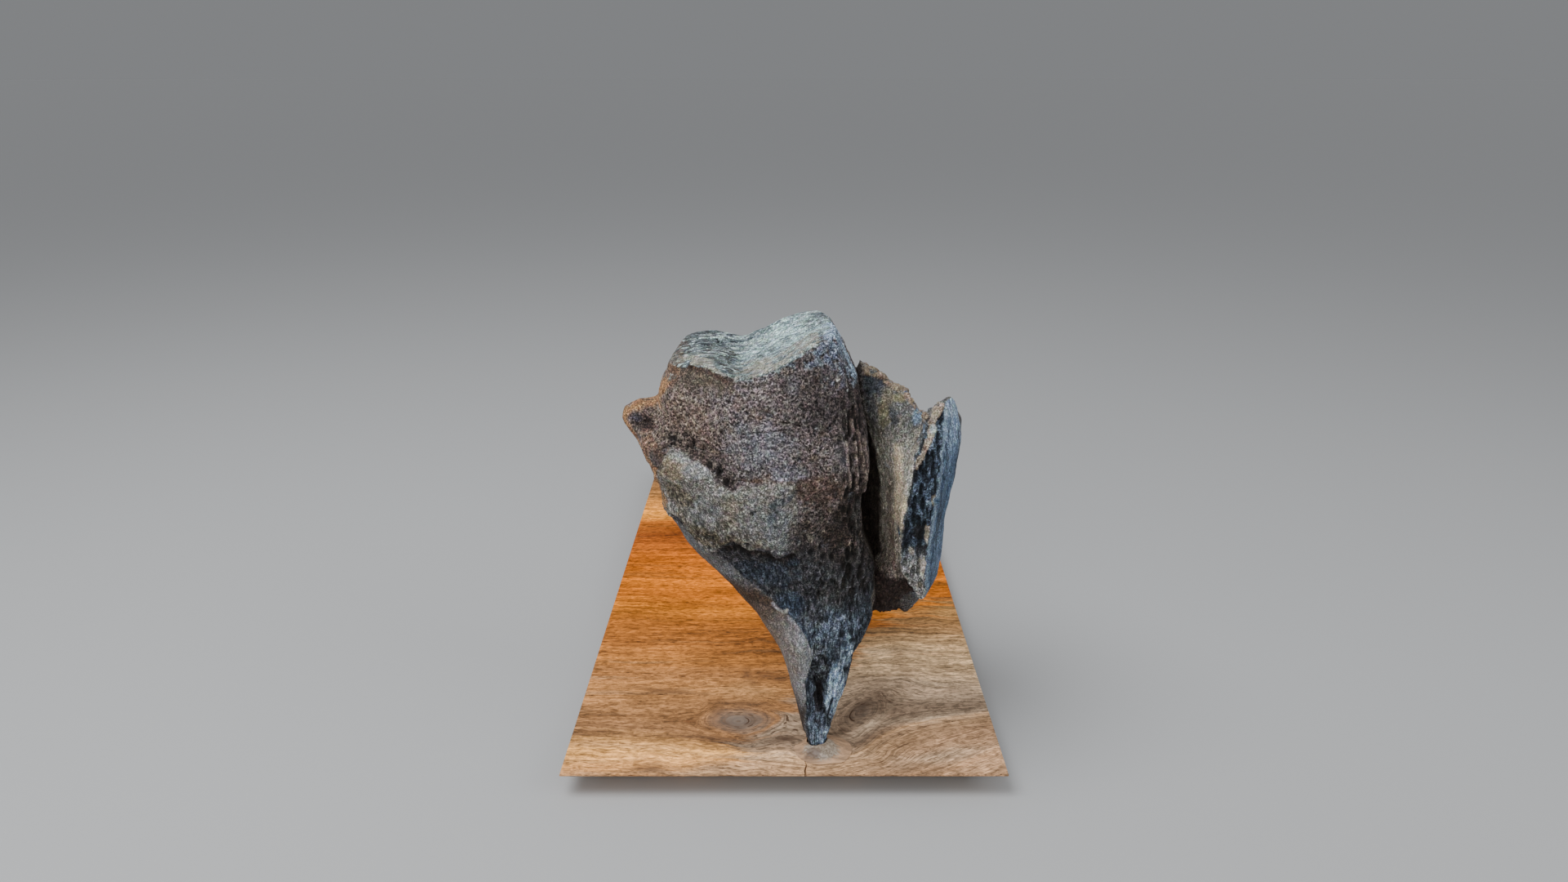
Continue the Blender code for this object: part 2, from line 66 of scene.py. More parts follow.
# Dark smudges on the wood: most are stains, but the one at (1, -173.5) is painted shadow beside the bone's
# tip.
smudges_and_shadow = [
    ((-21, -144), (19, 2.6), -0.06, 0.8), ((-24, -160), (17, 5), 0.05, 0.6),
    ((-33, -154), (3, 8), -0.2, 0.6), ((-36, -172.5), (26, 1.6), -0.1, 0.7),
    ((-62, -132), (26, 3), -0.16, 0.75), ((-19, -117), (1.8, 5.5), 0.2, 0.85),
    ((-10, -118), (4.4, 3.6), -0.3, 0.75), ((-2, -122), (5, 3), -0.15, 0.7),
    ((-16, -124), (2, 5), 0.3, 0.6), ((36, -150), (23, 6), 0.95, 0.9),
    ((50, -146), (12, 15), 0.3, 0.55), ((26, -168), (16, 4), 0.65, 0.85),
    ((44, -170), (22, 3.6), 0.55, 0.6), ((72, -166), (26, 5), 0.15, 0.45),
    ((62, -104), (5, 22), 0.1, 0.5), ((-60, -196), (12, 3), 0, 0.8), ((1, -173.5), (9, 2.8), 0.1, 0.95),
    ((14.5, -188), (2.6, 6.5), 0.25, 0.8), ((19, -192), (7, 2), 0, 0.6),
    ((30, -124), (26, 3), 0.06, 0.4),
]
bleached = [
    ((-16, -133), (22, 7), -0.05, 0.85), ((-74, -179), (34, 2.8), -0.08, 1),
    ((46, -156), (17, 2), 0.95, 0.75), ((70, -156), (30, 3), 0.2, 0.7),
    ((76, -126), (26, 3.2), -0.06, 0.6), ((-30, -187), (50, 3.5), 0.02, 0.5),
    ((-22, -152), (3, 1.6), 0, 0.9), ((74, -186), (24, 5), 0.25, 0.5), ((40, -96), (26, 6), 0.1, 0.6),
]


def to_object(name, bm):
    bmesh.ops.recalc_face_normals(bm, faces=bm.faces)
    mesh = bpy.data.meshes.new(name)
    bm.to_mesh(mesh)
    bm.free()
    item = bpy.data.objects.new(name, mesh)
    bpy.context.scene.collection.objects.link(item)
    return item


def apply_modifiers(item):
    bpy.context.view_layer.update()
    seen = item.evaluated_get(bpy.context.evaluated_depsgraph_get())
    mesh = bpy.data.meshes.new_from_object(seen)
    item.modifiers.clear()
    item.data = mesh


def read_points(mesh):
    points = np.empty(len(mesh.vertices) * 3, np.float32)
    mesh.vertices.foreach_get("co", points)
    return points.reshape(-1, 3).astype(float)


def write_points(mesh, points):
    mesh.vertices.foreach_set("co", points.astype(np.float32).ravel())
    mesh.update()


def write_values(mesh, name, values):
    layer = mesh.attributes.new(name, "FLOAT", "POINT")
    layer.data.foreach_set("value", values.astype(np.float32))


def ease(values, low, high):
    t = np.clip((values - low) / (high - low), 0, 1)
    return t * t * (3.0 - 2.0 * t)


def lattice_value(cells, seed):
    """A fixed random number from 0 to 1 for each whole-numbered cell."""
    mixed = (cells[..., 0] * 73856093) ^ (cells[..., 1] * 19349663) ^ (cells[..., 2] * 83492791)
    mixed = (mixed ^ (seed * 2654435761)) & 0x7FFFFFFF
    mixed = ((mixed ^ (mixed >> 15)) * 0x2C1B3C6D) & 0x7FFFFFFF
    mixed = ((mixed ^ (mixed >> 12)) * 0x297A2D39) & 0x7FFFFFFF
    return (mixed ^ (mixed >> 15)) / 0x7FFFFFFF


def lumps(points, size, seed, layers=1):
    """Smooth random relief from -1 to 1, with lumps of that size, and finer ones on them."""
    total = np.zeros(len(points))
    share = 1.0
    for layer in range(layers):
        place = points / np.asarray(size) * 2.0 ** layer + 17.3 * layer
        cell = np.floor(place).astype(np.int64)
        part = place - cell
        part = part * part * (3.0 - 2.0 * part)
        value = np.zeros(len(points))
        for corner in range(8):
            step = np.array([corner & 1, corner >> 1 & 1, corner >> 2 & 1])
            weight = np.prod(np.where(step == 1, part, 1.0 - part), axis=1)
            value += weight * lattice_value(cell + step, seed + layer)
        total += share * (2.0 * value - 1.0)
        share *= 0.5
    return total


def new_finish(name):
    finish = bpy.data.materials.new(name)
    finish.use_nodes = True
    return finish, finish.node_tree


def put(kind, sockets, **settings):
    """Adds a node to the tree at hand, its sockets set to values or fed by other nodes."""
    node = tree.nodes.new("ShaderNode" + kind)
    for name, value in settings.items():
        setattr(node, name, value)
    for socket, value in sockets.items():
        if isinstance(value, bpy.types.NodeSocket):
            tree.links.new(value, node.inputs[socket])
        else:
            node.inputs[socket].default_value = value
    return node


def value_of(name):
    return put("Attribute", {}, attribute_name=name).outputs["Fac"]


def over(under, top, amount, blend_type="MIX"):
    """One colour laid over another, both plain colours or fed by nodes."""
    node = put("Mix", {}, data_type="RGBA", blend_type=blend_type)
    for socket, value in {0: amount, 6: under, 7: top}.items():
        if isinstance(value, bpy.types.NodeSocket):
            tree.links.new(value, node.inputs[socket])
        elif socket == 0:
            node.inputs[socket].default_value = value
        else:
            node.inputs[socket].default_value = (*value, 1)
    return node.outputs[2]


def ramp(value, stops):
    node = put("ValToRGB", {"Fac": value})
    bar = node.color_ramp.elements
    while len(bar) < len(stops):
        bar.new(0.5)
    for element, (place, colour) in zip(bar, stops):
        element.position = place
        element.color = (*colour, 1)
    return node.outputs["Color"]


def calc(operation, first, second=0.0):
    return put("Math", {0: first, 1: second}, operation=operation).outputs[0]


def between(value, low, high, bottom=0.0, top=1.0):
    sockets = {"Value": value, 1: low, 2: high, 3: bottom, 4: top}
    return put("MapRange", sockets, interpolation_type="SMOOTHSTEP").outputs[0]


def grain(place, size, detail, stretch=(1.0, 1.0, 1.0), roughness=0.55, distortion=0.0):
    """Noise whose grains have that size in metres, longer along an axis where stretch is under 1."""
    moved = put("Mapping", {"Vector": place, "Scale": stretch}).outputs[0]
    sockets = {"Vector": moved, "Scale": 1.0 / size, "Detail": detail, "Roughness": roughness}
    return put("TexNoise", {**sockets, "Distortion": distortion}).outputs["Fac"]


def dimmed(colour, pattern):
    """The colour times a grey pattern, which leaves it as it is where the pattern is 1."""
    grey = put("CombineColor", {0: pattern, 1: pattern, 2: pattern}).outputs[0]
    return over(colour, grey, 1, "MULTIPLY")


def coat(piece, finish, colour, roughness, relief, depth, strength):
    """Feeds the patterns to the finish's shader, and gives the piece that finish alone."""
    shader = finish.node_tree.nodes["Principled BSDF"]
    bump = put("Bump", {"Strength": strength, "Distance": depth, "Height": relief}).outputs[0]
    for socket, pattern in [("Base Color", colour), ("Roughness", roughness), ("Normal", bump)]:
        finish.node_tree.links.new(pattern, shader.inputs[socket])
    piece.data.materials.clear()
    piece.data.materials.append(finish)
    return shader


def turned(centre, turn):
    """The board's points measured from a centre, along and across a line with that turn."""
    dx, dy = across - centre[0] * mm, along - centre[1] * mm
    return dx * math.cos(turn) + dy * math.sin(turn), dy * math.cos(turn) - dx * math.sin(turn)


def shade_of(spots):
    """The strongest of the soft, ragged ellipses at each point of the board, from 0 to 1."""
    blur = lumps(places, (0.01, 0.004, 0.01), 9, 3)
    shade = np.zeros(len(places))
    for centre, (long, wide), turn, strength in spots:
        side_way, up_way = turned(centre, turn)
        reach = (side_way / (long * mm)) ** 2 + (up_way / (wide * mm)) ** 2
        reach *= 1.0 + 0.6 * blur
        shade = np.maximum(shade, strength * np.exp(-1.3 * reach))
    return shade


plank = bmesh.new()
bmesh.ops.create_grid(plank, x_segments=plank_cells[0], y_segments=plank_cells[1], size=1.0)
for vert in plank.verts:
    vert.co.x *= half_width - edge_ease
    vert.co.y *= half_length - edge_ease
    vert.co.z = board_top
rim = [edge for edge in plank.edges if edge.is_boundary]
last_inset = edge_ease
for inset, drop in board_edge:
    grown = bmesh.ops.extrude_edge_only(plank, edges=rim)["geom"]
    rim = [part for part in grown if isinstance(part, bmesh.types.BMEdge)]
    for vert in (part for part in grown if isinstance(part, bmesh.types.BMVert)):
        vert.co.x *= (half_width - inset * mm) / (half_width - last_inset)
        vert.co.y *= (half_length - inset * mm) / (half_length - last_inset)
        vert.co.z = board_top - drop * mm
    rim = [edge for edge in rim if edge.is_boundary]
    last_inset = inset * mm
bmesh.ops.contextual_create(plank, geom=rim)
board = to_object("board", plank)

wedge = bmesh.new()
outline = []
for side in (-1, 1):
    steps = list(enumerate(crack_path))
    for step, (aside, back) in (steps if side < 0 else reversed(steps[1:])):
        edge_x = crack_x + (aside + side * crack_widening * step) * mm
        outline.append((edge_x, -half_length - (cut_past_edge + back) * mm))
flat = wedge.faces.new([wedge.verts.new((x, y, board_top - crack_depth)) for x, y in outline])
for part in bmesh.ops.extrude_face_region(wedge, geom=[flat])["geom"]:
    if isinstance(part, bmesh.types.BMVert):
        part.co.z = board_top + cut_above * mm
crack = to_object("crack", wedge)
cut = board.modifiers.new("crack", "BOOLEAN")
cut.object = crack
cut.solver = "EXACT"
apply_modifiers(board)
bpy.data.objects.remove(crack)

places = read_points(board.data)
across, along = places[:, 0], places[:, 1]
sweep = lumps(places, (0.16, 0.05, 0.05), 3, 2)
waver = lumps(places, (0.05, 0.012, 0.05), 7, 2)
fan = 0.5 * ease(across, 0, 0.06) * ease(-along, 0.125, 0.17)
figure = along + 4.5 * mm * sweep + 1.2 * mm * waver - fan * (across - 0.02)
eye = np.zeros(len(places))
ring = np.zeros(len(places))
for centre, radius, stretch, turn, strength in knots:
    side_way, up_way = turned(centre, turn)
    away = np.hypot(side_way / stretch, up_way) * (1.0 + 0.22 * lumps(places, 0.016, 5, 3)) + 1e-6
    reach, knot_y = radius * mm, centre[1] * mm
    bend = np.where(away > reach, (along - knot_y) * (reach / away) ** 2, 0)
    figure = np.where(away > reach, figure - bend, knot_y + (away - reach) * 0.9)
    eye = np.maximum(eye, strength * (1.0 - np.clip(away / reach, 0, 1)))
    upper = ease(up_way / reach, -0.2, 0.5)
    ring = np.maximum(ring, strength * upper * np.exp(-((away / reach - 1.02) / 0.1) ** 2))
ring *= ease(lumps(places, (0.02, 0.008, 0.01), 15, 2), -0.4, 0.5)

sap_edge = -0.205 + 0.175 * ease(across, -0.06, 0.105) + 0.012 * lumps(places, 0.035, 13, 2)
sap = ease(sap_edge - along, -0.03, 0.03)
on_top = ease(places[:, 2], board_top - 0.2 * mm, board_top)
places[:, 2] += on_top * (0.05 * mm * sweep - 0.12 * mm * ease(eye, 0.3, 0.9))
write_points(board.data, places)
for name, values in [
    ("figure", figure), ("eye", eye), ("ring", ring), ("sap", sap), ("stain_and_shadow", shade_of(smudges_and_shadow)),
    ("bleach", shade_of(bleached)),
]:
    write_values(board.data, name, values)
board.data.shade_smooth()
board.data.set_sharp_from_angle(angle=math.radians(40))

wood, tree = new_finish("oiled hardwood")
place = put("TexCoord", {}).outputs["Object"]
split = put("SeparateXYZ", {0: place})
line = value_of("figure")
with_grain = put("CombineXYZ", {0: split.outputs[0], 1: line, 2: split.outputs[2]}).outputs[0]
streaks = grain(with_grain, 0.0065, 7, (0.05, 1, 1), 0.68, 0.4)
fine_streaks = grain(with_grain, 0.0023, 6, (0.06, 1, 1), 0.72, 0.6)
fibres = grain(with_grain, 0.001, 4, (0.16, 1, 1), 0.66)
cloud = grain(place, 0.026, 5, (0.5, 1, 1), 0.62)
flecks = grain(place, 0.0017, 4, (0.45, 1, 1), 0.7, 0.8)
shift = calc("MULTIPLY", calc("SUBTRACT", streaks, 0.5), 0.03)
band_place = between(calc("ADD", line, shift), -0.2, 0.2)
band_place.node.interpolation_type = "LINEAR"
heartwood = ramp(band_place, [
    (0, (0.295, 0.134, 0.049)), (0.03, (0.49, 0.227, 0.074)), (0.05, (0.55, 0.267, 0.076)),
    (0.085, (0.2, 0.097, 0.041)), (0.13, (0.3, 0.137, 0.05)), (0.17, (0.35, 0.152, 0.048)),
    (0.2, (0.33, 0.14, 0.046)), (0.235, (0.385, 0.145, 0.033)), (0.275, (0.285, 0.098, 0.02)),
    (0.335, (0.28, 0.086, 0.012)), (0.375, (0.4, 0.12, 0.009)), (0.42, (0.385, 0.1, 0.006)),
    (0.46, (0.45, 0.118, 0.005)), (0.5, (0.47, 0.118, 0.005)), (0.54, (0.44, 0.104, 0.004)),
    (0.57, (0.4, 0.094, 0.005)), (0.61, (0.28, 0.066, 0.006)), (0.65, (0.215, 0.05, 0.006)),
    (0.7, (0.4, 0.106, 0.01)), (0.73, (0.8, 0.29, 0.032)), (0.775, (0.7, 0.26, 0.044)),
    (0.83, (0.4, 0.17, 0.046)), (0.9, (0.24, 0.115, 0.044)),
])
sapwood = ramp(band_place, [
    (0, (0.32, 0.185, 0.1)), (0.045, (0.405, 0.24, 0.126)), (0.08, (0.245, 0.165, 0.108)),
    (0.12, (0.35, 0.245, 0.162)), (0.16, (0.54, 0.375, 0.24)), (0.195, (0.58, 0.39, 0.225)),
    (0.235, (0.64, 0.42, 0.225)), (0.27, (0.52, 0.325, 0.16)), (0.31, (0.33, 0.18, 0.075)),
    (0.345, (0.28, 0.14, 0.05)), (0.38, (0.34, 0.175, 0.056)), (0.42, (0.32, 0.168, 0.056)),
])
pale = calc("ADD", value_of("sap"), between(streaks, 0.35, 0.65, -0.34, 0.34))
pale = between(pale, 0.15, 0.85)
colour = over(heartwood, sapwood, pale)
cream = over((0.64, 0.33, 0.13), (0.64, 0.48, 0.32), pale)
colour = over(colour, cream, calc("MULTIPLY", value_of("bleach"), 0.62))
for pattern, low, high, dark, bright in [
    (streaks, 0.38, 0.66, 1.14, 0.69), (fine_streaks, 0.38, 0.66, 1.2, 0.66),
    (fibres, 0.38, 0.64, 1.22, 0.7), (cloud, 0.4, 0.64, 1.12, 0.72), (flecks, 0.4, 0.64, 1.28, 0.62),
]:
    colour = dimmed(colour, between(pattern, low, high, dark, bright))
dark_streak = over((0.12, 0.028, 0.006), (0.12, 0.064, 0.03), pale)
colour = over(colour, dark_streak, between(fine_streaks, 0.61, 0.74, 0, 0.6))
knot_rings = grain(with_grain, 0.0022, 4, (0.03, 1, 0.2), 0.6, 0.8)
knot_brown = over((0.125, 0.098, 0.08), (0.215, 0.178, 0.148), between(knot_rings, 0.3, 0.7))
knot_share = calc("MULTIPLY", between(value_of("eye"), 0, 0.95), 0.85)
colour = over(colour, knot_brown, knot_share)
colour = over(colour, (0.075, 0.038, 0.02), calc("MULTIPLY", value_of("ring"), 0.75))
# The dark smudges: stains, and the painted shadow beside the bone's tip.
smear = calc("MULTIPLY", value_of("stain_and_shadow"), between(fine_streaks, 0.62, 0.4, 0.4, 1))
colour = over(colour, (0.058, 0.032, 0.02), smear)
vessels = put("Mapping", {"Vector": with_grain, "Scale": (0.16, 1, 1)}).outputs[0]
vessel_spots = put("TexVoronoi", {"Vector": vessels, "Scale": 1000}, feature="F1").outputs[0]
vessel_mask = calc("MULTIPLY", between(vessel_spots, 0.3, 0.15), between(streaks, 0.38, 0.58))
colour = over(colour, (0.04, 0.016, 0.007), calc("MULTIPLY", vessel_mask, 0.8))
polish = calc("ADD", between(cloud, 0.3, 0.7, 0.44, 0.56), calc("MULTIPLY", vessel_mask, 0.2))
relief = calc("SUBTRACT", calc("MULTIPLY", fine_streaks, 0.6), vessel_mask)
shader = coat(board, wood, colour, polish, relief, 0.3 * mm, 0.5)
shader.inputs["Specular IOR Level"].default_value = 0.07

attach(board, "root")
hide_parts("stand_board")


# The bone is the broken joint end of a mammoth's bone, turned dark by the ground it lay in. Its
# inside is spongy bone, open where it broke, with a smooth joint surface on top, a paler flake of
# harder bone in front, and a skin of dense bone down the neck, round the back and on the wall.
fine_levels = 3
smooth_turns = 30
crease_angles = (0.55, 1.05)
weld_within = 0.001 * mm
uv_split_angle = math.radians(60)
uv_gap = 0.002

# Sizes and depths of the surface, and outlines and paths on the front as x and height above the
# board, all in millimetres.
foot_kept = (3.0, 12.0)
pore_size = 1.45
pore_depth = 0.62
long_pore_size = (1.45, 1.45, 4.4)
coarse_pore_size = (3.2, 3.2, 4.6)
coarse_pore_depth = 0.65
gap_size = (2.5, 3.4, 8.0)
gap_depth = 1.5
slit_depth = 1.1
flake_thickness = 0.9
neck_skin_thickness = 0.7
left_rim_thickness = 0.5
undercut_depth = 1.4
spur_hollow_depth = 2.6
neck_hollow_depth = 2.4
flake_outline = [
    (-49, 144.5), (-43.1, 143.6), (-39.5, 141.2), (-35, 139.7), (-30.7, 137), (-27.3, 133.9),
    (-23.9, 130.8), (-18.7, 130.6), (-13.6, 131.1), (-6.8, 133.1), (0, 134.2), (4.1, 132.5), (5.1, 124),
    (2.7, 117), (1.7, 109), (2.1, 103.3), (-1.7, 98.3), (-3.5, 97.8), (-7, 102), (-15.7, 102.3),
    (-19.2, 104.3), (-26.5, 101), (-30.4, 97.5), (-36, 97), (-42, 104), (-47, 112), (-66, 108),
    (-60, 125), (-53.5, 134),
]
neck_skin_outline = [
    (-47, 109), (-41.5, 106.5), (-38, 102), (-33, 97), (-27, 94.2), (-21.6, 88.5), (-14.4, 82),
    (-9.5, 77.5), (-5.4, 75), (-2.9, 71.6), (1.1, 69.4), (6.5, 62.5), (9.1, 57.8), (11.7, 51.2),
    (12.4, 47.2), (11.3, 42), (9.2, 36.8), (9.9, 30.5), (9.6, 20.5), (10.6, 7.2), (10.4, -2), (-8, -2),
    (-16, 48), (-40, 70), (-70, 104),
]
wall_edge_outline = [
    (67.7, 158.5), (64.7, 154.5), (62.2, 151.8), (60.6, 147.2), (56.9, 138.2), (55.7, 127),
    (53.6, 115.6), (51.7, 99.6), (52.5, 87.9), (55.6, 76.5), (60, 68.5), (62.2, 64.5), (64.6, 66.5),
    (63.2, 83.8), (64, 99.7), (65.5, 113.5), (66.7, 122.6), (67.6, 129.7), (68.8, 143.6), (69.8, 156.5),
]
shoulder_outline = [
    (-50, 179), (-39.3, 180.6), (-33.2, 179.2), (-26.9, 177), (-19.8, 174.6), (-22, 171.2),
    (-33.9, 170.6), (-41, 169.8), (-50, 170.5),
]
rim_path = [
    (-46.8, 177.6), (-48.6, 171.6), (-52.7, 165.7), (-56.5, 159.3), (-60.8, 158.4), (-66, 156.6),
    (-69.3, 153.8), (-69.7, 151.6), (-65.6, 144.6), (-59.9, 137), (-56.4, 133.8), (-54.8, 128.1),
    (-54.3, 118.7),
]
cap_lip = [
    (-47.1, 177.9), (-41.8, 180.6), (-35.9, 180.6), (-30.4, 179.4), (-25.2, 177.2), (-20.1, 176.2),
    (-15.1, 177.1), (-10.1, 178.7), (-5.1, 180.8), (0, 183.3), (5.1, 186), (10.3, 188.9), (13.8, 191.1),
]
pit_path = [(-45.5, 147.5), (-42, 145.8), (-37.6, 143.2), (-32, 140.2), (-26.8, 136.6), (-22.5, 133.2)]
undercut_path = [
    (-25, 99.5), (-19.5, 102), (-15.5, 99.8), (-8, 99), (-3.8, 94.8), (-0.5, 94.8), (3, 98.5),
]
cracks = [
    ([(-4.5, 162.2), (-1.5, 160.2), (2, 159.6), (6.5, 158.6)], 0.55, 0.9),
    ([(-13, 155.2), (-7, 155.7), (1, 157.2)], 0.35, 0.5),
    ([(15, 154.6), (18.5, 156.4), (21.5, 159.9), (22.4, 162)], 0.6, 1),
    ([(17.1, 88.5), (15.9, 82), (14.8, 75.5)], 0.7, 1.1),
    ([(28.8, 70.5), (29.6, 67.6), (29.4, 64)], 0.6, 1),
    ([(15.6, 40), (15.9, 31.9), (16.4, 24.9), (17.4, 18), (18.8, 9)], 1.1, 2.4),
    ([(22.5, 26), (20.6, 20), (20.2, 12)], 0.7, 1.2),
]
strut_ridges = [
    [(28.2, 158), (28.9, 153), (30, 146.3), (30.6, 137.3), (31.4, 126)],
    [(31, 153.5), (31.8, 148), (33.4, 141.4), (33.9, 133)],
    [(33.4, 150), (35, 143), (35.4, 134), (34.4, 124)],
    [(26, 150), (26.6, 142), (27.8, 130)],
]
blue_edge_path = [
    (17.9, 193.8), (20.2, 192.5), (22.1, 191), (25.8, 184.3), (27.6, 179), (29.6, 174.6), (30.6, 170.5),
]
wall_crest_path = [
    (34.5, 166.6), (38.7, 167.6), (44.3, 165.4), (49.8, 161.4), (55.1, 159), (58.4, 155.8),
    (61.5, 152.2),
]
wall_ridge_path = [(50.6, 136), (51, 132.7), (51.3, 127.6), (52, 118.8), (51.9, 111), (51.2, 103)]
wall_lip = [
    (35.6, 165), (36.3, 157), (37.3, 149.8), (38.9, 141.3), (41.6, 133.9), (44, 125.9), (46.4, 110.5),
    (46.5, 94.5), (46.6, 80), (40, 70),
]
rust_line = [(48.6, 120), (48.6, 106), (49.6, 92), (50.4, 80)]
edge_crust_path = [(68.6, 157), (65.2, 153.6), (63.9, 146.2), (61.6, 142), (59.2, 137.2), (57.4, 132.6)]


def edges_of(mesh):
    pairs = np.empty(len(mesh.edges) * 2, np.int32)
    mesh.edges.foreach_get("vertices", pairs)
    return pairs.reshape(-1, 2)


def even_out(points, pairs, turns, share):
    """Moves each point towards the middle of its neighbours, by its share."""
    first, second = pairs.T
    count = len(points)
    neighbours = np.bincount(pairs.ravel(), minlength=count)[:, None]
    for _ in range(turns):
        total = np.empty_like(points)
        for axis in range(3):
            total[:, axis] = (
                np.bincount(first, points[second, axis], count)
                + np.bincount(second, points[first, axis], count)
            )
        points = points + share[:, None] * (total / neighbours - points)
    return points


def normals_of(mesh):
    normals = np.empty(len(mesh.vertices) * 3, np.float32)
    mesh.vertex_normals.foreach_get("vector", normals)
    return normals.reshape(-1, 3).astype(float)


def from_path(path, x, height):
    """The distance in millimetres to a path."""
    nearest = np.full(len(x), 1000.0)
    for (ax, az), (bx, bz) in zip(path, path[1:]):
        wide, tall = bx - ax, bz - az
        t = np.clip(((x - ax) * wide + (height - az) * tall) / (wide ** 2 + tall ** 2), 0, 1)
        nearest = np.minimum(nearest, np.hypot(x - ax - t * wide, height - az - t * tall))
    return nearest


def beside(path, reach, fade, shake=0.5):
    """1 along a path on the front, 0 from that reach on, with a ragged edge."""
    return ease(reach - from_path(path, x + shake * ragged, height), 0, fade)


def below(level, fade, at_height=None):
    """1 well below a height on the bone, 0 above it."""
    return ease(level - (height if at_height is None else at_height), 0, fade)


def blotches(size, seed, low, high, layers=3):
    """Random patches of that size, from 0 to 1."""
    return ease(lumps(at, size, seed, layers), low, high)


def inside_by(outline, x, height):
    """How many millimetres inside the outline each point is, negative outside."""
    closed = outline + outline[:1]
    inside = np.zeros(len(x), bool)
    for (ax, az), (bx, bz) in zip(closed, closed[1:]):
        if az != bz:
            crosses = (az > height) != (bz > height)
            inside ^= crosses & (x < ax + (height - az) * (bx - ax) / (bz - az))
    nearest = from_path(closed, x, height)
    return np.where(inside, nearest, -nearest)


def pits(shake, size, seed, reach, fade):
    """Scattered pits, one to a cell of that size, from 0 between them to 1 at their bottoms."""
    place = (at + shake * wander) / np.asarray(size)
    cell = np.floor(place).astype(np.int64)
    nearest = np.full(len(at), 9.0)
    for step in np.ndindex(3, 3, 3):
        other = cell + np.array(step) - 1
        away = np.zeros(len(at))
        for axis in range(3):
            away += (other[:, axis] + lattice_value(other, seed + axis) - place[:, axis]) ** 2
        nearest = np.minimum(nearest, np.sqrt(away))
    return ease(reach - nearest, 0, fade)


def spot(points, centre, radii):
    """1 at the centre of a soft ellipsoid, 0 outside it, all in millimetres."""
    reach = (((points - np.array(centre)) / np.array(radii)) ** 2).sum(axis=1)
    return np.clip(1.0 - reach, 0, 1)


def shape_of(node_name):
    """The node's shape as a mesh to work on, with its doubled points welded."""
    bm = bmesh.new()
    bm.from_mesh(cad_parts[node_name].data)
    bmesh.ops.remove_doubles(bm, verts=bm.verts, dist=weld_within)
    return bm


def split_finer(item, levels):
    finer = item.modifiers.new("finer", "SUBSURF")
    finer.subdivision_type = "SIMPLE"
    finer.levels = levels
    finer.render_levels = levels
    apply_modifiers(item)


core = shape_of("fossil_bone")
rim_layer = core.verts.layers.float.new("crease")
for vert in core.verts:
    sharpest = max(edge.calc_face_angle(0.0) for edge in vert.link_edges)
    vert[rim_layer] = float(ease(np.array(sharpest), *crease_angles))
bone = to_object("bone", core)
bpy.context.view_layer.objects.active = bone
bone.select_set(True)
bone.data.uv_layers.new(name="OFBake")
bpy.ops.object.mode_set(mode="EDIT")
bpy.ops.mesh.select_all(action="SELECT")
bpy.ops.uv.smart_project(angle_limit=uv_split_angle, island_margin=uv_gap, area_weight=0.3)
bpy.ops.object.mode_set(mode="OBJECT")
split_finer(bone, fine_levels)

bone_mesh = bone.data
crease = np.empty(len(bone_mesh.vertices), np.float32)
bone_mesh.attributes["crease"].data.foreach_get("value", crease)
pairs = edges_of(bone_mesh)
start = read_points(bone_mesh)
near_foot = 1.0 - ease(start[:, 2], board_top + foot_kept[0] * mm, board_top + foot_kept[1] * mm)
corner = spot(start / mm, (21, -165, 204), (14, 34, 16))
looseness = (0.75 - 0.45 * crease) * (1.0 - 0.85 * near_foot) * (1.0 - 0.6 * corner)
body = even_out(start, pairs, smooth_turns, looseness)
write_points(bone_mesh, body)
facing = normals_of(bone_mesh)
face_x, face_y, face_z = facing.T

at = (body - np.array([0, 0, board_top])) / mm
x, y, height = at.T
wander = np.stack([lumps(at, 13, seed, 2) for seed in (201, 211, 221)], axis=1)
wander_x, wander_y, wander_h = wander.T
tuft_x, tuft_h = (lumps(at, (3.6, 3.6, 5), seed, 3) for seed in (231, 241))
ragged = lumps(at, 3.2, 11, 3)
near_x, near_h = x + 1.6 * wander_x, height + 1.6 * wander_h
torn_x, torn_h = near_x + 1.3 * tuft_x, near_h + 1.3 * tuft_h
front = ease(-face_y, -0.1, 0.25) * ease(-y, 136, 146)

# The zones of the surface, each a share from 0 to 1 at every point of the bone.
cap = ease(face_z + 0.05 * ragged + 0.08 * tuft_x, 0.4, 0.6) * ease(height, 166, 172)
arris = [*cap_lip[6:], (17.5, 193), (20.5, 192.5)]
lip_line = np.array(cap_lip[:6] + arris)
over_lip = height + 0.5 * ragged + 0.4 * tuft_x - np.interp(x, *lip_line.T)
over_lip = ease(over_lip, -0.4, 0.8) * ease(face_z, 0.1, 0.3) * ease(-y, 140, 150)
cap = np.maximum(cap, over_lip) * ease(21.5 - x, 0, 4)
neck_in = inside_by(neck_skin_outline, x + 0.5 * wander_x + 0.35 * ragged, height)
neck_skin = ease(neck_in, -0.4, 0.5) * ease(-face_y, -0.4, 0)
flake_in = inside_by(flake_outline, torn_x - 1.0, torn_h)
frayed = ease(near_x, -14, 2)
flake_in += 2.0 * frayed * lumps(at, (1.6, 3, 4), 461, 3)
flake = ease(flake_in, -0.7 - 2.4 * frayed, 1.3 + 2.6 * frayed) * front * (1.0 - neck_skin)
edge_in = inside_by(wall_edge_outline, x + 0.6 * ragged, height + 0.5 * ragged)
wall_edge = ease(edge_in, -0.4, 0.4) * ease(-y, 146.5, 150)
on_wall = ease(x, 34, 38) * ease(-y, 100, 112) * ease(y, -162, -152)
on_wall += ease(x, 42.5, 44.5)
on_wall = np.clip(on_wall, 0, 1) * ease(height, 44, 50)
wall_out = on_wall * ease(face_x, 0.1, 0.45) * ease(x, 60, 66) * (1.0 - wall_edge)
wall_in = on_wall * (1.0 - wall_edge) * (1.0 - wall_out) * ease(-face_y, -0.3, 0)
turned_away = face_y + 0.12 * ragged - 0.3 * ease(x, 18, 30)
turned_away += 0.4 * ease(-face_x, 0.8, 0.96) * ease(y, -152, -138)
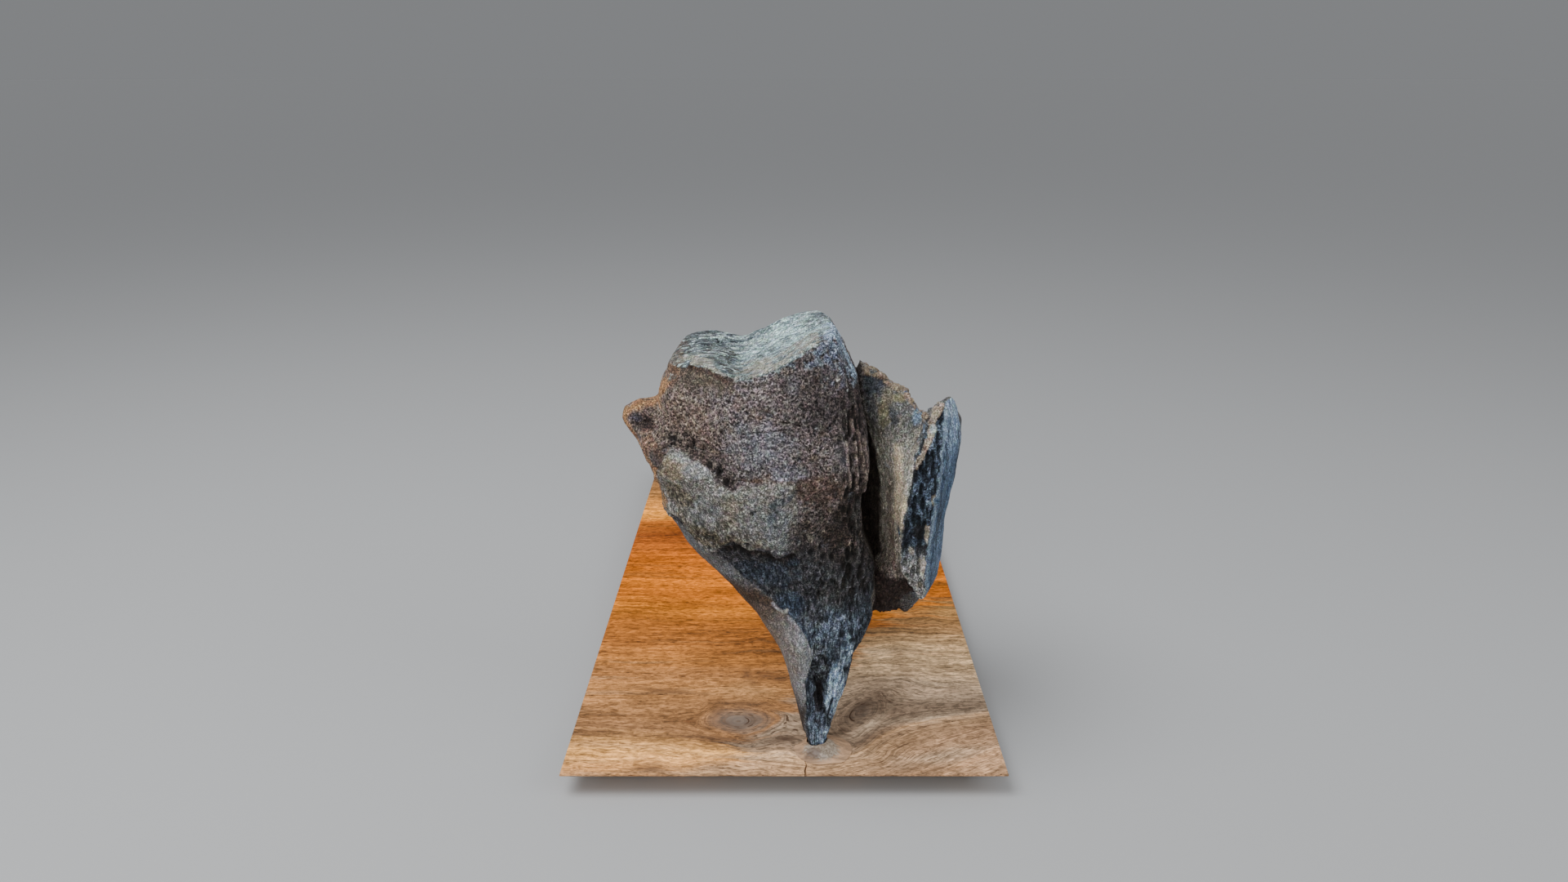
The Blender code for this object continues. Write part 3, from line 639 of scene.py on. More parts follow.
behind = ease(turned_away, 0, 0.22) * (1.0 - cap)
behind = np.maximum(behind, ease(y + 4.0 * ragged, -118, -108) * (1.0 - cap) * (x < 30.0))
rim_near = from_path(rim_path, x + 0.5 * ragged, height)
left_rim = ease(-face_x + 0.1 * ragged, 0.86, 1) * ease(height, 100, 112)
left_rim *= ease(5.0 * wander_y + 2.0 * ragged - y, 130, 152)
rim_edge = ease(2.0 + 0.6 * ragged - rim_near, 0, 1.5) * ease(2.0 * ragged - y, 130, 142)
left_rim = np.maximum(left_rim, rim_edge * ease(0.25 - face_y, 0, 0.25))
left_rim *= (1.0 - cap) * (x < -40.0)
shoulder_in = inside_by(shoulder_outline, near_x, near_h) + 1.5 * tuft_x
shoulder = ease(shoulder_in, -4, 3) * (1.0 - cap) * front
skin = np.clip(neck_skin + behind + left_rim + wall_out + wall_in, 0, 1)
spongy = np.clip(1.0 - skin - cap - wall_edge - 0.8 * shoulder, 0, 1)
low_neck = ease(102.0 - near_h - 0.55 * (near_x - 8.0), -12, 10) * (1.0 - behind)
low_neck *= 1.0 - wall_in
strandy = np.clip(spot(at, (30, -170, 142), (11, 30, 34)) * 1.6, 0, 1)
strandy = np.maximum(strandy, low_neck) * spongy

# Pores, crumbs and scratches, drawn out along the grain where the bone is strandy.
open_pores = pits(0.3, pore_size, 21, 0.47, 0.36)
long_pores = pits(0.4, long_pore_size, 31, 0.5, 0.36)
pores = open_pores * (1.0 - strandy) + long_pores * strandy
coarse_pores = pits(0.6, coarse_pore_size, 41, 0.54, 0.28)
swell = lumps(at, 20, 45, 1) + 0.8 * lumps(at, 8, 51, 3)
crumbs = lumps(at, 2.2, 61, 3)
cottony = lumps(at, (2.4, 2.4, 3.6), 71, 3)
scratches = lumps(at, (0.7, 0.7, 10), 81, 2)
coarse_patch = 0.5 * blotches(14, 91, 0.25, 0.7, 1)

# Pits, splits, ridges and rims, most of them along their own paths.
pit_near = from_path(pit_path, torn_x, torn_h)
pit_line = ease(2.9 + 0.8 * ragged - pit_near, 0, 2.4) * front * (1.0 - flake)
undercut = beside(undercut_path, 3, 2.4) * front * (1.0 - flake)
pit_band = ease(10.0 - pit_near, 0, 8) * front * (1.0 - flake)
mottled = front * (1.0 - on_wall) * below(126, 14) * ease(near_x, 4, 12)
spur_hollow = spot(at, (-61.5, -160, 152), (6.6, 14, 4.8)) * (1.0 - left_rim)
neck_hollow = spot(at, (16, -178, 39.5), (5, 12, 8))
neck_hollow = ease(neck_hollow + 0.25 * ragged, 0.1, 0.45) * (1.0 - neck_skin)

# The neck's fibres fan out from a point below the foot.
apex = (16.0, -28.0)
angle = np.arctan2(x - apex[0], height - apex[1])
radius = np.hypot(x - apex[0], height - apex[1])
fan_out = np.stack([angle * 110.0, y, radius * 0.32], axis=1)
strokes = ease(lumps(fan_out, (1.2, 2.4, 1.5), 441, 2), -0.45, 0.35)

split_lines = np.zeros(len(at))
split_depth = np.zeros(len(at))
for path, half, deep_by in cracks:
    line = beside(path, half * 1.2, half) * front
    split_lines = np.maximum(split_lines, line * ease(crumbs, -1, 0))
    split_depth = np.maximum(split_depth, line * deep_by)
long_gaps = pits(0.8, gap_size, 401, 0.6, 0.22)
slits = long_gaps * ease(near_x, 18, 27)
slits *= front * (1.0 - on_wall) * ease(height, 62, 80) * below(178, 14)
ridges = np.zeros(len(at))
for path in strut_ridges:
    ridge = beside(path, 1, 0.8)
    ridges = np.maximum(ridges, ridge * ease(-y, 160, 168) * ease(ragged, -0.9, -0.2))
block_low = on_wall * below(77, 4) * (1.0 - wall_edge) * (1.0 - wall_out)

# The joint surface is streaked along lines that cross it at a slant.
cap_axes = np.array([[0.87, 0, 0], [-0.5, 1, 0], [0, 0, 1]]) / np.array([26, 7, 9])
cap_sweep = lumps(at @ cap_axes, 1, 351, 4)
cap_fine = lumps((at + 1.6 * wander) @ cap_axes * 3.2, 1, 357, 3)
cap_lines = lumps((at + 1.6 * wander) @ cap_axes * 6.0, 1, 367, 2)
# The creases are darkened as painted shade, and the flecks are painted highlights.
creases = np.maximum(ease(0.13 - np.abs(cap_fine), 0, 0.1), ease(cap_lines, 0.35, 0.75))
creases *= cap * ease(cap_sweep, -0.8, 0.2)
flecks = ease(-cap_lines, 0.35, 0.75) * cap
cap_grit = lumps((at + 1.2 * wander) @ cap_axes * 9.0, 1, 471, 2)

crest = ease(2.4 - from_path(wall_crest_path, x, height + 0.6 * ragged), 0, 1)
crest *= on_wall * (1.0 - wall_out)
wall_ridge = beside(wall_ridge_path, 2.6, 2.2) * wall_in
wall_ridge *= ease(height, 96, 112)
crust_reach = 1.4 + 0.5 * ease(height, 132, 152) + 0.6 * tuft_h
crust = beside(edge_crust_path, crust_reach, 0.8)
crust *= ease(-y, 144, 150) * ease(0.4 - face_y, 0, 0.3)
lip = ease(1.1 - from_path(cap_lip, x, height + 0.2 * ragged), 0, 0.8) * ease(-y, 152, 158)

# How far the surface rises along its normals, in millimetres.
rise = 0.38 * swell * (1.0 - 0.6 * cap) * (1.0 - 0.5 * skin)
rise -= pore_depth * pores * spongy * (1.0 - 0.45 * flake)
rise += 0.24 * crumbs * spongy
rise -= coarse_pore_depth * coarse_pores * coarse_patch * spongy
rise += flake * (flake_thickness + 0.4 * cottony)
rise += neck_skin_thickness * neck_skin + left_rim_thickness * left_rim
rise += 0.1 * scratches * skin + 0.35 * crumbs * wall_in + 0.8 * crumbs * block_low
rise -= wall_edge * (gap_depth * long_gaps - 0.7 * crumbs - 0.4) * (1.0 - crust)
rise += crust * (0.9 + 0.25 * crumbs) + crest * (0.5 + 0.6 * crumbs) + 0.5 * wall_ridge + 0.35 * lip
rise -= pit_line * (0.3 + 0.3 * crumbs) + undercut * (undercut_depth + 0.6 * crumbs)
rise -= 0.55 * coarse_pores * (pit_band + 0.8 * mottled) * spongy
rise -= spur_hollow_depth * spur_hollow + neck_hollow * (neck_hollow_depth + 1.4 * crumbs) + split_depth
rise += 0.8 * ridges - slit_depth * slits * (1.0 - ridges) + 0.1 * cap * cap_fine - 0.3 * creases
rise += 1.4 * spot(at, (-47.5, -157, 177.5), (5, 9, 4.5))
foot = ease(height, 0, 4)
body = body + facing * (rise * mm * foot)[:, None]
write_points(bone_mesh, body)

# The colours are laid on in pairs: one for the raised struts and grains, and one for the hollows,
# whose far darker colour is partly painted shade.
light = np.tile((0.3, 0.252, 0.244), (len(at), 1))
deep = np.tile((0.016, 0.011, 0.011), (len(at), 1))


def lay(share, on_light, on_deep):
    share = np.clip(share, 0, 1)[:, None]
    light[:] = light * (1.0 - share) + np.array(on_light) * share
    deep[:] = deep * (1.0 - share) + np.array(on_deep) * share


def lay_spots(spots, on_light, on_deep, edge, only=1.0):
    for centre, radii, strength in spots:
        soft = spot(at, centre, radii)
        lay(strength * ease(soft + edge * ragged * (soft > 0.0), 0.05, 0.75) * only, on_light, on_deep)


def lay_along(path, reach, fade, share, on_light, on_deep):
    near = from_path(path, torn_x, torn_h)
    lay(ease(reach - near, 0, fade) * share, on_light, on_deep)


patch = lumps(at, 11, 301, 3)
warmth = lumps(at, 6, 311, 3)
lay(ease(patch, 0.1, 0.8) * 0.7, (0.262, 0.262, 0.285), (0.032, 0.032, 0.039))
lay(ease(warmth, 0.2, 0.9) * 0.6, (0.27, 0.19, 0.14), (0.034, 0.02, 0.014))
lay(ease(-patch, 0.2, 0.9) * 0.45, (0.165, 0.132, 0.122), (0.013, 0.009, 0.008))
lay_spots([((-46, -170, 150), (26, 60, 26), 0.6)], (0.335, 0.232, 0.168), (0.028, 0.016, 0.011), 0.2, front)
lay_spots([
    ((-10, -186, 150), (17, 40, 12), 0.4), ((2, -188, 138.5), (10, 40, 5), 0.6),
    ((-5, -187, 154), (5, 40, 3.4), 0.55), ((4, -182, 174), (3.6, 40, 6), 0.75),
    ((24, -182, 146), (5, 40, 6), 0.3),
], (0.32, 0.325, 0.37), (0.05, 0.052, 0.063), 0.3, front)
lay_spots([
    ((18, -176, 172), (26, 60, 22), 0.8), ((30, -176, 160), (12, 60, 24), 0.7),
    ((12, -180, 160), (16, 60, 12), 0.3),
], (0.125, 0.102, 0.099), (0.007, 0.005, 0.005), 0.2, front)
lay_spots([
    ((14, -188, 130), (16, 40, 9), 0.75), ((24, -184, 122), (9, 40, 9), 0.45),
    ((-6, -189, 134.6), (14, 40, 1.4), 0.8),
], (0.18, 0.112, 0.078), (0.024, 0.012, 0.008), 0.4, front)
brown = below(130, 26, near_h) * ease(near_x, -2, 10) * front
lay(brown * 0.9, (0.112, 0.076, 0.056), (0.005, 0.0035, 0.003))
lay(ease(near_x, 25, 31) * front * (1.0 - on_wall) * 0.9, (0.104, 0.075, 0.067), (0.003, 0.002, 0.002))
lay(mottled * ease(crumbs, 0.25, 0.7) * 0.8, (0.39, 0.31, 0.255), (0.016, 0.011, 0.009))
lay(mottled * blotches((4, 8, 6), 411, 0.05, 0.55) * 0.95, (0.27, 0.235, 0.2), (0.01, 0.008, 0.007))
lay(mottled * blotches((4, 8, 6), 421, 0.15, 0.7) * 0.9, (0.026, 0.018, 0.014), (0.002, 0.002, 0.001))
lay_spots([
    ((32.5, -175, 114), (3.6, 30, 17), 0.75), ((33, -174, 95), (3, 30, 9), 0.6),
    ((14.5, -186, 108), (2.2, 30, 8), 0.6), ((24, -179, 100), (3, 30, 8), 0.35),
], (0.135, 0.13, 0.12), (0.018, 0.018, 0.017), 0.45, front)
lay_spots([
    ((31, -179, 124.5), (7, 30, 4.5), 0.9), ((23, -180, 108), (8, 30, 12), 0.6),
    ((30, -176, 86), (10, 30, 10), 0.5), ((36, -170, 118), (3, 20, 12), 0.8),
], (0.046, 0.03, 0.023), (0.006, 0.004, 0.003), 0.4, front)

lay_along([(-58, 145.1), (-53.4, 140.4), (-50.2, 133), (-48.5, 125)], 3.4, 2, front * 0.8,
          (0.18, 0.11, 0.08), (0.028, 0.014, 0.01))
lay(flake, (0.375, 0.36, 0.328), (0.04, 0.038, 0.033))
lay_spots([
    ((-46, -177, 136), (9, 40, 6.5), 0.9), ((-19, -186, 121), (7, 40, 8), 0.4),
    ((-7, -187, 106), (7, 40, 5), 0.5),
], (0.47, 0.38, 0.265), (0.08, 0.06, 0.04), 0.45, flake)
lay_spots([
    ((-35, -182, 136.5), (10, 40, 4), 0.9), ((-42, -178, 141.5), (7, 40, 2.8), 0.7),
    ((-27, -184, 128), (6, 40, 4), 0.5),
], (0.5, 0.5, 0.49), (0.1, 0.102, 0.102), 0.35, flake)
lay_spots([
    ((-3, -190, 112), (7.5, 40, 17), 0.8), ((-12, -188, 118), (9, 40, 12), 0.45),
    ((-34, -182, 118), (9, 40, 9), 0.45),
], (0.34, 0.365, 0.378), (0.046, 0.052, 0.056), 0.4, flake)
lay_spots([
    ((-45, -174, 124), (9, 40, 7), 0.85), ((-33, -178, 106), (12, 40, 6), 0.85),
    ((-22, -184, 106.5), (8, 40, 4), 0.75), ((-43, -170, 111), (6, 40, 7), 0.65),
    ((-25, -184, 114), (6, 40, 4), 0.4), ((-23, -186, 125.5), (4.5, 40, 4), 0.5),
], (0.215, 0.182, 0.118), (0.018, 0.014, 0.009), 0.55, flake)
lay_along([(2, 128), (-3, 125.5), (-6, 119)], 2.4, 1.8, flake * 0.7,
          (0.09, 0.105, 0.125), (0.022, 0.027, 0.036))

lay(low_neck * (1.0 - flake), (0.108, 0.108, 0.118), (0.005, 0.006, 0.008))
mid_neck = below(80, 18, near_h) * low_neck
lay(mid_neck * 0.9, (0.122, 0.148, 0.186), (0.007, 0.011, 0.018))
lay_spots([
    ((-8, -178, 88), (17, 40, 9), 0.6), ((2, -182, 96.5), (5, 40, 5), 0.8),
    ((3, -178, 73), (8, 40, 9), 0.8),
], (0.074, 0.102, 0.15), (0.007, 0.011, 0.019), 0.45, low_neck * (1.0 - flake))
lay_spots([
    ((10.5, -178, 60), (6, 40, 7), 0.6), ((24, -178, 62), (9, 40, 7), 0.55),
    ((13.4, -181, 20), (3, 40, 18), 0.45), ((13, -181, 6), (2, 40, 4), 0.7),
    ((31, -176, 60), (4, 40, 7), 0.6), ((18, -178, 53), (6, 40, 9), 0.5),
    ((20, -178, 62), (14, 40, 12), 0.35),
], (0.38, 0.47, 0.59), (0.026, 0.036, 0.058), 0.3, low_neck * strokes)
# Whitish-blue streaks on the neck's strands: partly their own pale blue, partly painted sheen.
lay_spots([
    ((23.8, -179, 28), (6, 40, 19), 1), ((18.5, -181, 6), (4, 40, 9), 0.95),
    ((28.5, -177, 48), (3.5, 40, 12), 0.85),
], (0.74, 0.92, 1), (0.15, 0.22, 0.35), 0.3, low_neck * (0.4 + 0.6 * strokes))
lay_spots([((15.2, -181, 12), (4.4, 40, 18), 0.9)],
          (0.4, 0.5, 0.65), (0.022, 0.032, 0.05), 0.3, low_neck * strokes)
lay_spots([
    ((15.6, -181, 24), (2.1, 40, 18), 0.95), ((12.8, -180, 44), (2.6, 40, 5), 0.7),
], (0.046, 0.04, 0.043), (0.004, 0.003, 0.004), 0.5, low_neck)
lay_spots([((15, -180, 49), (5.4, 40, 5), 0.9)], (0.52, 0.56, 0.6), (0.01, 0.011, 0.014), 0.95, low_neck)
lay_spots([
    ((22, -180, 78), (10, 40, 9), 0.5), ((14, -180, 66), (7, 40, 6), 0.4),
], (0.14, 0.136, 0.125), (0.02, 0.02, 0.019), 0.45, low_neck)
lay(pit_band * 0.65, (0.17, 0.135, 0.122), (0.008, 0.005, 0.005))
# Painted shade in the pit line above the flake and under the flake's overhanging lower edge.
lay((0.6 * pit_line + undercut) * 0.8, (0.055, 0.037, 0.028), (0.007, 0.004, 0.003))
lay(split_lines * 0.8, (0.02, 0.014, 0.012), (0.006, 0.004, 0.004))
lay(neck_hollow * 0.9, (0.26, 0.29, 0.33), (0.008, 0.008, 0.01))
lay(slits * 0.95, (0.02, 0.014, 0.012), (0.002, 0.002, 0.001))
lay(ridges * 0.8, (0.33, 0.262, 0.226), (0.06, 0.044, 0.037))

lay(shoulder, (0.19, 0.152, 0.116), (0.024, 0.018, 0.014))
# Painted shadow: a dark brown line just below the lip of the joint surface.
lay(shoulder * ease(1.8 - from_path(cap_lip[1:8], x, height + 1.6), 0, 1.4),
    (0.085, 0.052, 0.035), (0.024, 0.014, 0.01))
lay(behind, (0.18, 0.16, 0.142), (0.055, 0.048, 0.042))
lay(behind * blotches((16, 16, 30), 321, -0.1, 0.6), (0.215, 0.138, 0.085), (0.07, 0.04, 0.025))
lay(behind * blotches((12, 12, 26), 331, 0.05, 0.7) * 0.8, (0.135, 0.16, 0.182), (0.04, 0.05, 0.061))
lay(behind * blotches((9, 9, 20), 341, 0.25, 0.9) * 0.7, (0.066, 0.05, 0.041), (0.016, 0.012, 0.01))

skin_high = ease(height, 56, 74)
skin_low = below(36, 20)
lay(neck_skin, (0.3, 0.282, 0.272), (0.09, 0.083, 0.08))
lay(neck_skin * ease(patch, -0.1, 0.6) * 0.7, (0.24, 0.186, 0.142), (0.07, 0.054, 0.042))
lay(neck_skin * ease(7.0 - neck_in, 0, 6) * (1.0 - skin_high) * 0.8,
    (0.34, 0.36, 0.385), (0.105, 0.114, 0.126))
lay(neck_skin * skin_high, (0.108, 0.07, 0.048), (0.021, 0.014, 0.011))
lay(neck_skin * ease(height, 76, 86), (0.21, 0.222, 0.23), (0.045, 0.049, 0.052))
lay(neck_skin * skin_low * 0.95, (0.05, 0.035, 0.032), (0.013, 0.008, 0.008))
# The skin's pale broken edge, with a painted highlight along it.
pale_rim_and_highlight = ease(0.9 - np.abs(neck_in - 0.7), 0, 0.6) * neck_skin * below(80, 6)
pale_rim_and_highlight *= blotches(4.2, 101, -0.35, 0.35, 2) * ease(height, 38, 46)
lay(pale_rim_and_highlight * 0.85, (0.36, 0.36, 0.375), (0.18, 0.18, 0.19))

# The left rim is tan, and its orange is partly painted warm light.
lay(left_rim, (0.62, 0.34, 0.16), (0.09, 0.044, 0.02))
lay_spots([((-58, -158, 139), (7, 16, 16), 0.65)],
          (0.43, 0.26, 0.16), (0.05, 0.028, 0.017), 0.5, 1.0 - flake)
lay(left_rim * ease(tuft_x, 0.1, 0.9) * 0.7, (0.24, 0.17, 0.125), (0.036, 0.025, 0.019))
lay(spur_hollow * 1.4, (0.08, 0.056, 0.048), (0.01, 0.006, 0.006))
lay(spot(at, (-64.5, -159, 153.6), (3, 20, 2.6)) * 0.7, (0.135, 0.135, 0.17), (0.03, 0.03, 0.04))

# The joint surface is pale grey-green; its blue tint and lightness are partly painted cool light from
# above.
lay(cap, (0.425, 0.55, 0.565), (0.056, 0.08, 0.087))
lay(cap * ease(cap_sweep, 0, 0.7) * 0.9, (0.68, 0.83, 0.78), (0.15, 0.19, 0.172))
lay(cap * ease(-cap_sweep, 0, 0.7) * 0.9, (0.185, 0.245, 0.28), (0.022, 0.032, 0.038))
lay(cap * ease(cap_fine, 0.1, 0.7) * 0.65, (0.235, 0.29, 0.31), (0.028, 0.038, 0.043))
lay(cap * ease(-cap_fine, 0.2, 0.8) * 0.6, (0.66, 0.8, 0.74), (0.16, 0.205, 0.182))
# Painted highlights: bright spots on the joint surface.
lay_spots([
    ((4, -150, 189), (18, 30, 10), 0.85), ((-8, -164, 181), (13, 13, 6), 0.45),
    ((-14, -150, 180), (7, 11, 6), 0.85),
], (0.7, 0.93, 0.93), (0.165, 0.235, 0.24), 0.3, cap)
lay_spots([
    ((-41, -136, 183), (13, 18, 9), 0.95), ((-35, -150, 181), (13, 11, 6), 0.85),
    ((12, -130, 192), (8, 14, 6), 0.4), ((-29, -128, 184), (9, 14, 8), 0.6),
], (0.125, 0.136, 0.138), (0.01, 0.012, 0.013), 0.4, cap)
lay_spots([((-38, -140, 182), (4, 5, 6), 0.6), ((-28, -156, 180), (5, 3, 6), 0.6)],
          (0.44, 0.52, 0.56), (0.06, 0.08, 0.09), 0.6, cap)
# Brown patches on the joint surface, partly painted shade in and around its dimple.
lay_spots([
    ((-27, -150, 180), (9, 10, 6), 1), ((-30, -160, 180), (11, 5, 5), 0.6),
    ((-16, -168, 178.5), (13, 9, 5), 1), ((6, -124, 190), (12, 6, 6), 0.4),
], (0.135, 0.116, 0.092), (0.016, 0.013, 0.01), 0.35, cap)
lay(cap * ease(-46.5 - x, -4, 0) * (y > -142.0), (0.17, 0.11, 0.076), (0.036, 0.024, 0.018))
lay_spots([
    ((-47.5, -148, 178.5), (4.5, 12, 5), 0.9), ((-45, -140, 181), (4, 8, 4), 0.7),
    ((-46, -161, 176), (6.5, 11, 8), 1),
], (0.3, 0.185, 0.115), (0.04, 0.024, 0.017), 0.4)
lay(cap * ease(-10.0 - near_x, 0, 12) * 0.52, (0.1, 0.108, 0.112), (0.01, 0.011, 0.012))
lay(cap * ease(cap_grit, 0.2, 0.7) * 0.75, (0.15, 0.18, 0.195), (0.014, 0.018, 0.022))
lay(cap * ease(-cap_grit, 0.3, 0.8) * 0.6, (0.8, 0.98, 0.96), (0.26, 0.33, 0.33))
# Painted shade in the creases, and painted highlights on the flecks.
lay(creases * 0.8, (0.1, 0.116, 0.128), (0.01, 0.012, 0.014))
lay(flecks * 0.7, (0.8, 0.96, 0.92), (0.24, 0.31, 0.3))
speckled = ease(crumbs + 0.5 * tuft_x, -0.35, 0.45)
lay_along(arris, 5.5, 5.5, (1.0 - cap) * front * speckled * 0.85,
          (0.38, 0.43, 0.455), (0.024, 0.028, 0.036))
lay_along(arris, 3.6, 3.6, cap * speckled * 0.75, (0.2, 0.196, 0.21), (0.014, 0.014, 0.017))
lay_spots([
    ((18.5, -170, 191), (7.5, 11, 6), 1), ((13, -163, 190.5), (5, 10, 6), 0.6),
], (0.215, 0.2, 0.215), (0.014, 0.013, 0.016), 0.3, cap * speckled)
lay(lip * ease(ragged, -0.7, 0.3) * 0.7, (0.52, 0.49, 0.4), (0.15, 0.14, 0.11))
lay(cap * ease(y, -116, -110) * 0.6, (0.13, 0.094, 0.068), (0.03, 0.021, 0.017))

blue_edge = beside(blue_edge_path, 3, 1.8, 0.8)
blue_edge *= ease(5.0 * ragged - y + 1.15 * np.clip(height - 172.0, 0, 16), 156, 168)
blue_edge *= ease(x, 14, 17) * ease(tuft_x, -0.9, 0.1) * ease(height + 1.5 * ragged, 171, 176)
lay(blue_edge * 0.9, (0.64, 0.82, 1), (0.07, 0.1, 0.14))
lay_spots([
    ((17, -173, 188), (10, 30, 8), 0.9), ((7, -177, 185), (9, 30, 6), 0.6),
    ((22, -172, 179), (6, 30, 9), 0.5),
], (0.3, 0.35, 0.45), (0.02, 0.026, 0.042), 0.45, (1.0 - cap) * speckled)
lay_along([(23.5, 186), (25.5, 180), (27.5, 173)], 1.5, 1.2, (1.0 - cap) * front * 0.6,
          (0.07, 0.056, 0.053), (0.008, 0.006, 0.006))

# The wall's inner face lies in shadow low down, so its own colours are laid on lighter there.
shaded = below(150, 22)
lay(wall_in, (0.245, 0.245, 0.235), (0.036, 0.036, 0.034))
streaky = lumps(at, (3, 6, 16), 361, 3)
lay(wall_in * ease(streaky, 0, 0.8) * 0.75, (0.33, 0.295, 0.22), (0.06, 0.05, 0.034))
lay(wall_in * ease(-streaky, 0, 0.8) * 0.7, (0.15, 0.16, 0.162), (0.018, 0.02, 0.021))
lay(wall_in * shaded * 0.8, (0.83, 0.78, 0.66), (0.18, 0.165, 0.136))
lay(wall_in * below(112, 16, near_h) * 0.7, (0.6, 0.52, 0.43), (0.08, 0.068, 0.056))
lay(wall_in * below(134, 14) * ease(x, 51.5, 53.5) * 0.8,
    (0.48, 0.53, 0.52), (0.08, 0.092, 0.092))
lay_spots([
    ((40, -136, 162.5), (7, 20, 6.5), 0.9), ((38, -136, 154), (5, 20, 7), 0.5),
    ((49, -144, 150), (2.4, 20, 5), 0.65),
], (0.052, 0.064, 0.08), (0.012, 0.015, 0.02), 0.45, wall_in)
lay_spots([((51.5, -141, 156.6), (4, 20, 2.4), 0.8), ((45, -140, 149), (3, 20, 7), 0.6)],
          (0.3, 0.26, 0.15), (0.105, 0.09, 0.048), 0.35, wall_in)
lay_along([(56, 157), (58.1, 153.1), (61, 149)], 2.6, 1.6, wall_in, (0.24, 0.32, 0.43), (0.05, 0.07, 0.1))
lay(wall_in * below(90, 12, near_h) * 0.9, (0.36, 0.3, 0.26), (0.03, 0.023, 0.02))
lay(wall_in * beside(rust_line, 1.5, 1.2, 0.4) * 0.5, (0.2, 0.12, 0.085), (0.05, 0.026, 0.017))
# The ridge on the wall's inner face is pale, and laid on lighter still as painted light against the shade
# there.
lay(wall_ridge * 0.85, (0.98, 0.82, 0.6), (0.4, 0.31, 0.21))
# The low block at the wall's foot is dark brown, partly painted shade.
lay(block_low, (0.075, 0.052, 0.044), (0.006, 0.004, 0.004))
lay_spots([((58.5, -142, 55), (5, 20, 7), 0.7)], (0.19, 0.185, 0.182), (0.04, 0.038, 0.037), 0.5, block_low)
# Painted shade deep in the cleft between the trunk and the wall.
lip_x = np.interp(height, [p[1] for p in reversed(wall_lip)], [p[0] for p in reversed(wall_lip)])
cleft_shade = ease(lip_x + 0.5 * ragged - x, -0.4, 1.6) * ease(x, 28, 33) * ease(-y, 60, 70)
cleft_shade *= ease(y, -168, -152) * ease(height, 66, 76) * below(172, 6)
cleft_shade *= ease(0.25 - face_y, 0, 0.25)
lay(cleft_shade * 0.95, (0.03, 0.018, 0.013), (0.006, 0.004, 0.003))
lay(crest * ease(crumbs, -0.8, -0.1), (0.37, 0.29, 0.21), (0.11, 0.078, 0.054))
lay_spots([((46.8, -141, 125), (1.3, 20, 1.5), 1)], (0.55, 0.55, 0.55), (0.4, 0.4, 0.4), 0.2, wall_in)

# Painted cool light: the wall's outer face is laid on blue towards the front, deeper blue lower down.
cool_lit_front = wall_out * ease(6.0 * wander_y + 3.0 * ragged - y, 132, 158)
lay(wall_out, (0.17, 0.18, 0.19), (0.04, 0.044, 0.048))
lay(wall_out * blotches((9, 12, 30), 431, 0, 0.7) * 0.8, (0.19, 0.14, 0.1), (0.044, 0.03, 0.02))
lay(cool_lit_front, (0.52, 0.69, 0.9), (0.096, 0.138, 0.204))
lay(cool_lit_front * below(148, 18), (0.13, 0.2, 0.31), (0.022, 0.04, 0.072))
lay(wall_out * blotches((6, 2, 30), 371, 0.1, 0.8) * 0.6, (0.215, 0.29, 0.38), (0.07, 0.1, 0.14))
lay(wall_out * blotches((8, 2.5, 26), 381, 0.1, 0.8) * 0.8, (0.044, 0.056, 0.074), (0.01, 0.014, 0.021))
out_front = wall_out * ease(-y, 138, 150) * 0.7
lay(out_front * ease(1.5 - np.abs(edge_in + 1.0), 0, 1), (0.34, 0.43, 0.52), (0.11, 0.15, 0.2))
lay(out_front * ease(0.9 - np.abs(edge_in + 3.4), 0, 0.8), (0.052, 0.072, 0.104), (0.01, 0.016, 0.028))
lay(wall_out * ease(height, 148, 156) * 0.6, (0.44, 0.53, 0.62), (0.12, 0.16, 0.205))
lay(wall_edge, (0.11, 0.152, 0.215), (0.003, 0.004, 0.007))
lay(wall_edge * blotches((2.2, 6, 9), 391, 0.2, 0.8) * 0.85, (0.34, 0.435, 0.56), (0.018, 0.026, 0.04))
lay(wall_edge * blotches((1.1, 2, 1.7), 451, 0.25, 0.7, 2) * 0.7, (0.36, 0.47, 0.62), (0.034, 0.052, 0.082))
lay(wall_edge * long_gaps * 0.7, (0.026, 0.034, 0.048), (0.003, 0.004, 0.006))
lay(wall_edge * ease(height, 104, 110) * beside(wall_edge_outline[:9], 1.6, 1.2, 0) * 0.6,
    (0.2, 0.215, 0.215), (0.055, 0.06, 0.062))
lay(wall_edge * below(98, 12, near_h) * 0.8, (0.9, 0.89, 0.85), (0.06, 0.06, 0.06))
lay_spots([
    ((66, -167, 118), (1.7, 20, 3.4), 1), ((63.3, -169, 102), (1.6, 20, 5.4), 1),
    ((62, -169, 88), (2.4, 20, 4.4), 0.9), ((63.8, -162, 146.5), (2.4, 20, 2.8), 1),
    ((61, -169, 75), (2.4, 20, 3), 0.8), ((56.5, -168, 94), (1.6, 20, 2.4), 0.6),
    ((61.5, -168, 84), (1.8, 20, 3), 0.8),
], (0.64, 0.59, 0.5), (0.26, 0.23, 0.18), 0.75, wall_edge)
lay_spots([((61.5, -168, 96), (2.6, 20, 4), 0.9), ((59.5, -168, 103), (3, 20, 4.5), 0.9)],
          (0.034, 0.031, 0.034), (0.005, 0.005, 0.005), 0.5, wall_edge)
lay(crust, (0.52, 0.44, 0.355), (0.12, 0.094, 0.072))
lay(crust * ease(tuft_x, 0.2, 0.9) * 0.7, (0.36, 0.24, 0.17), (0.08, 0.05, 0.034))
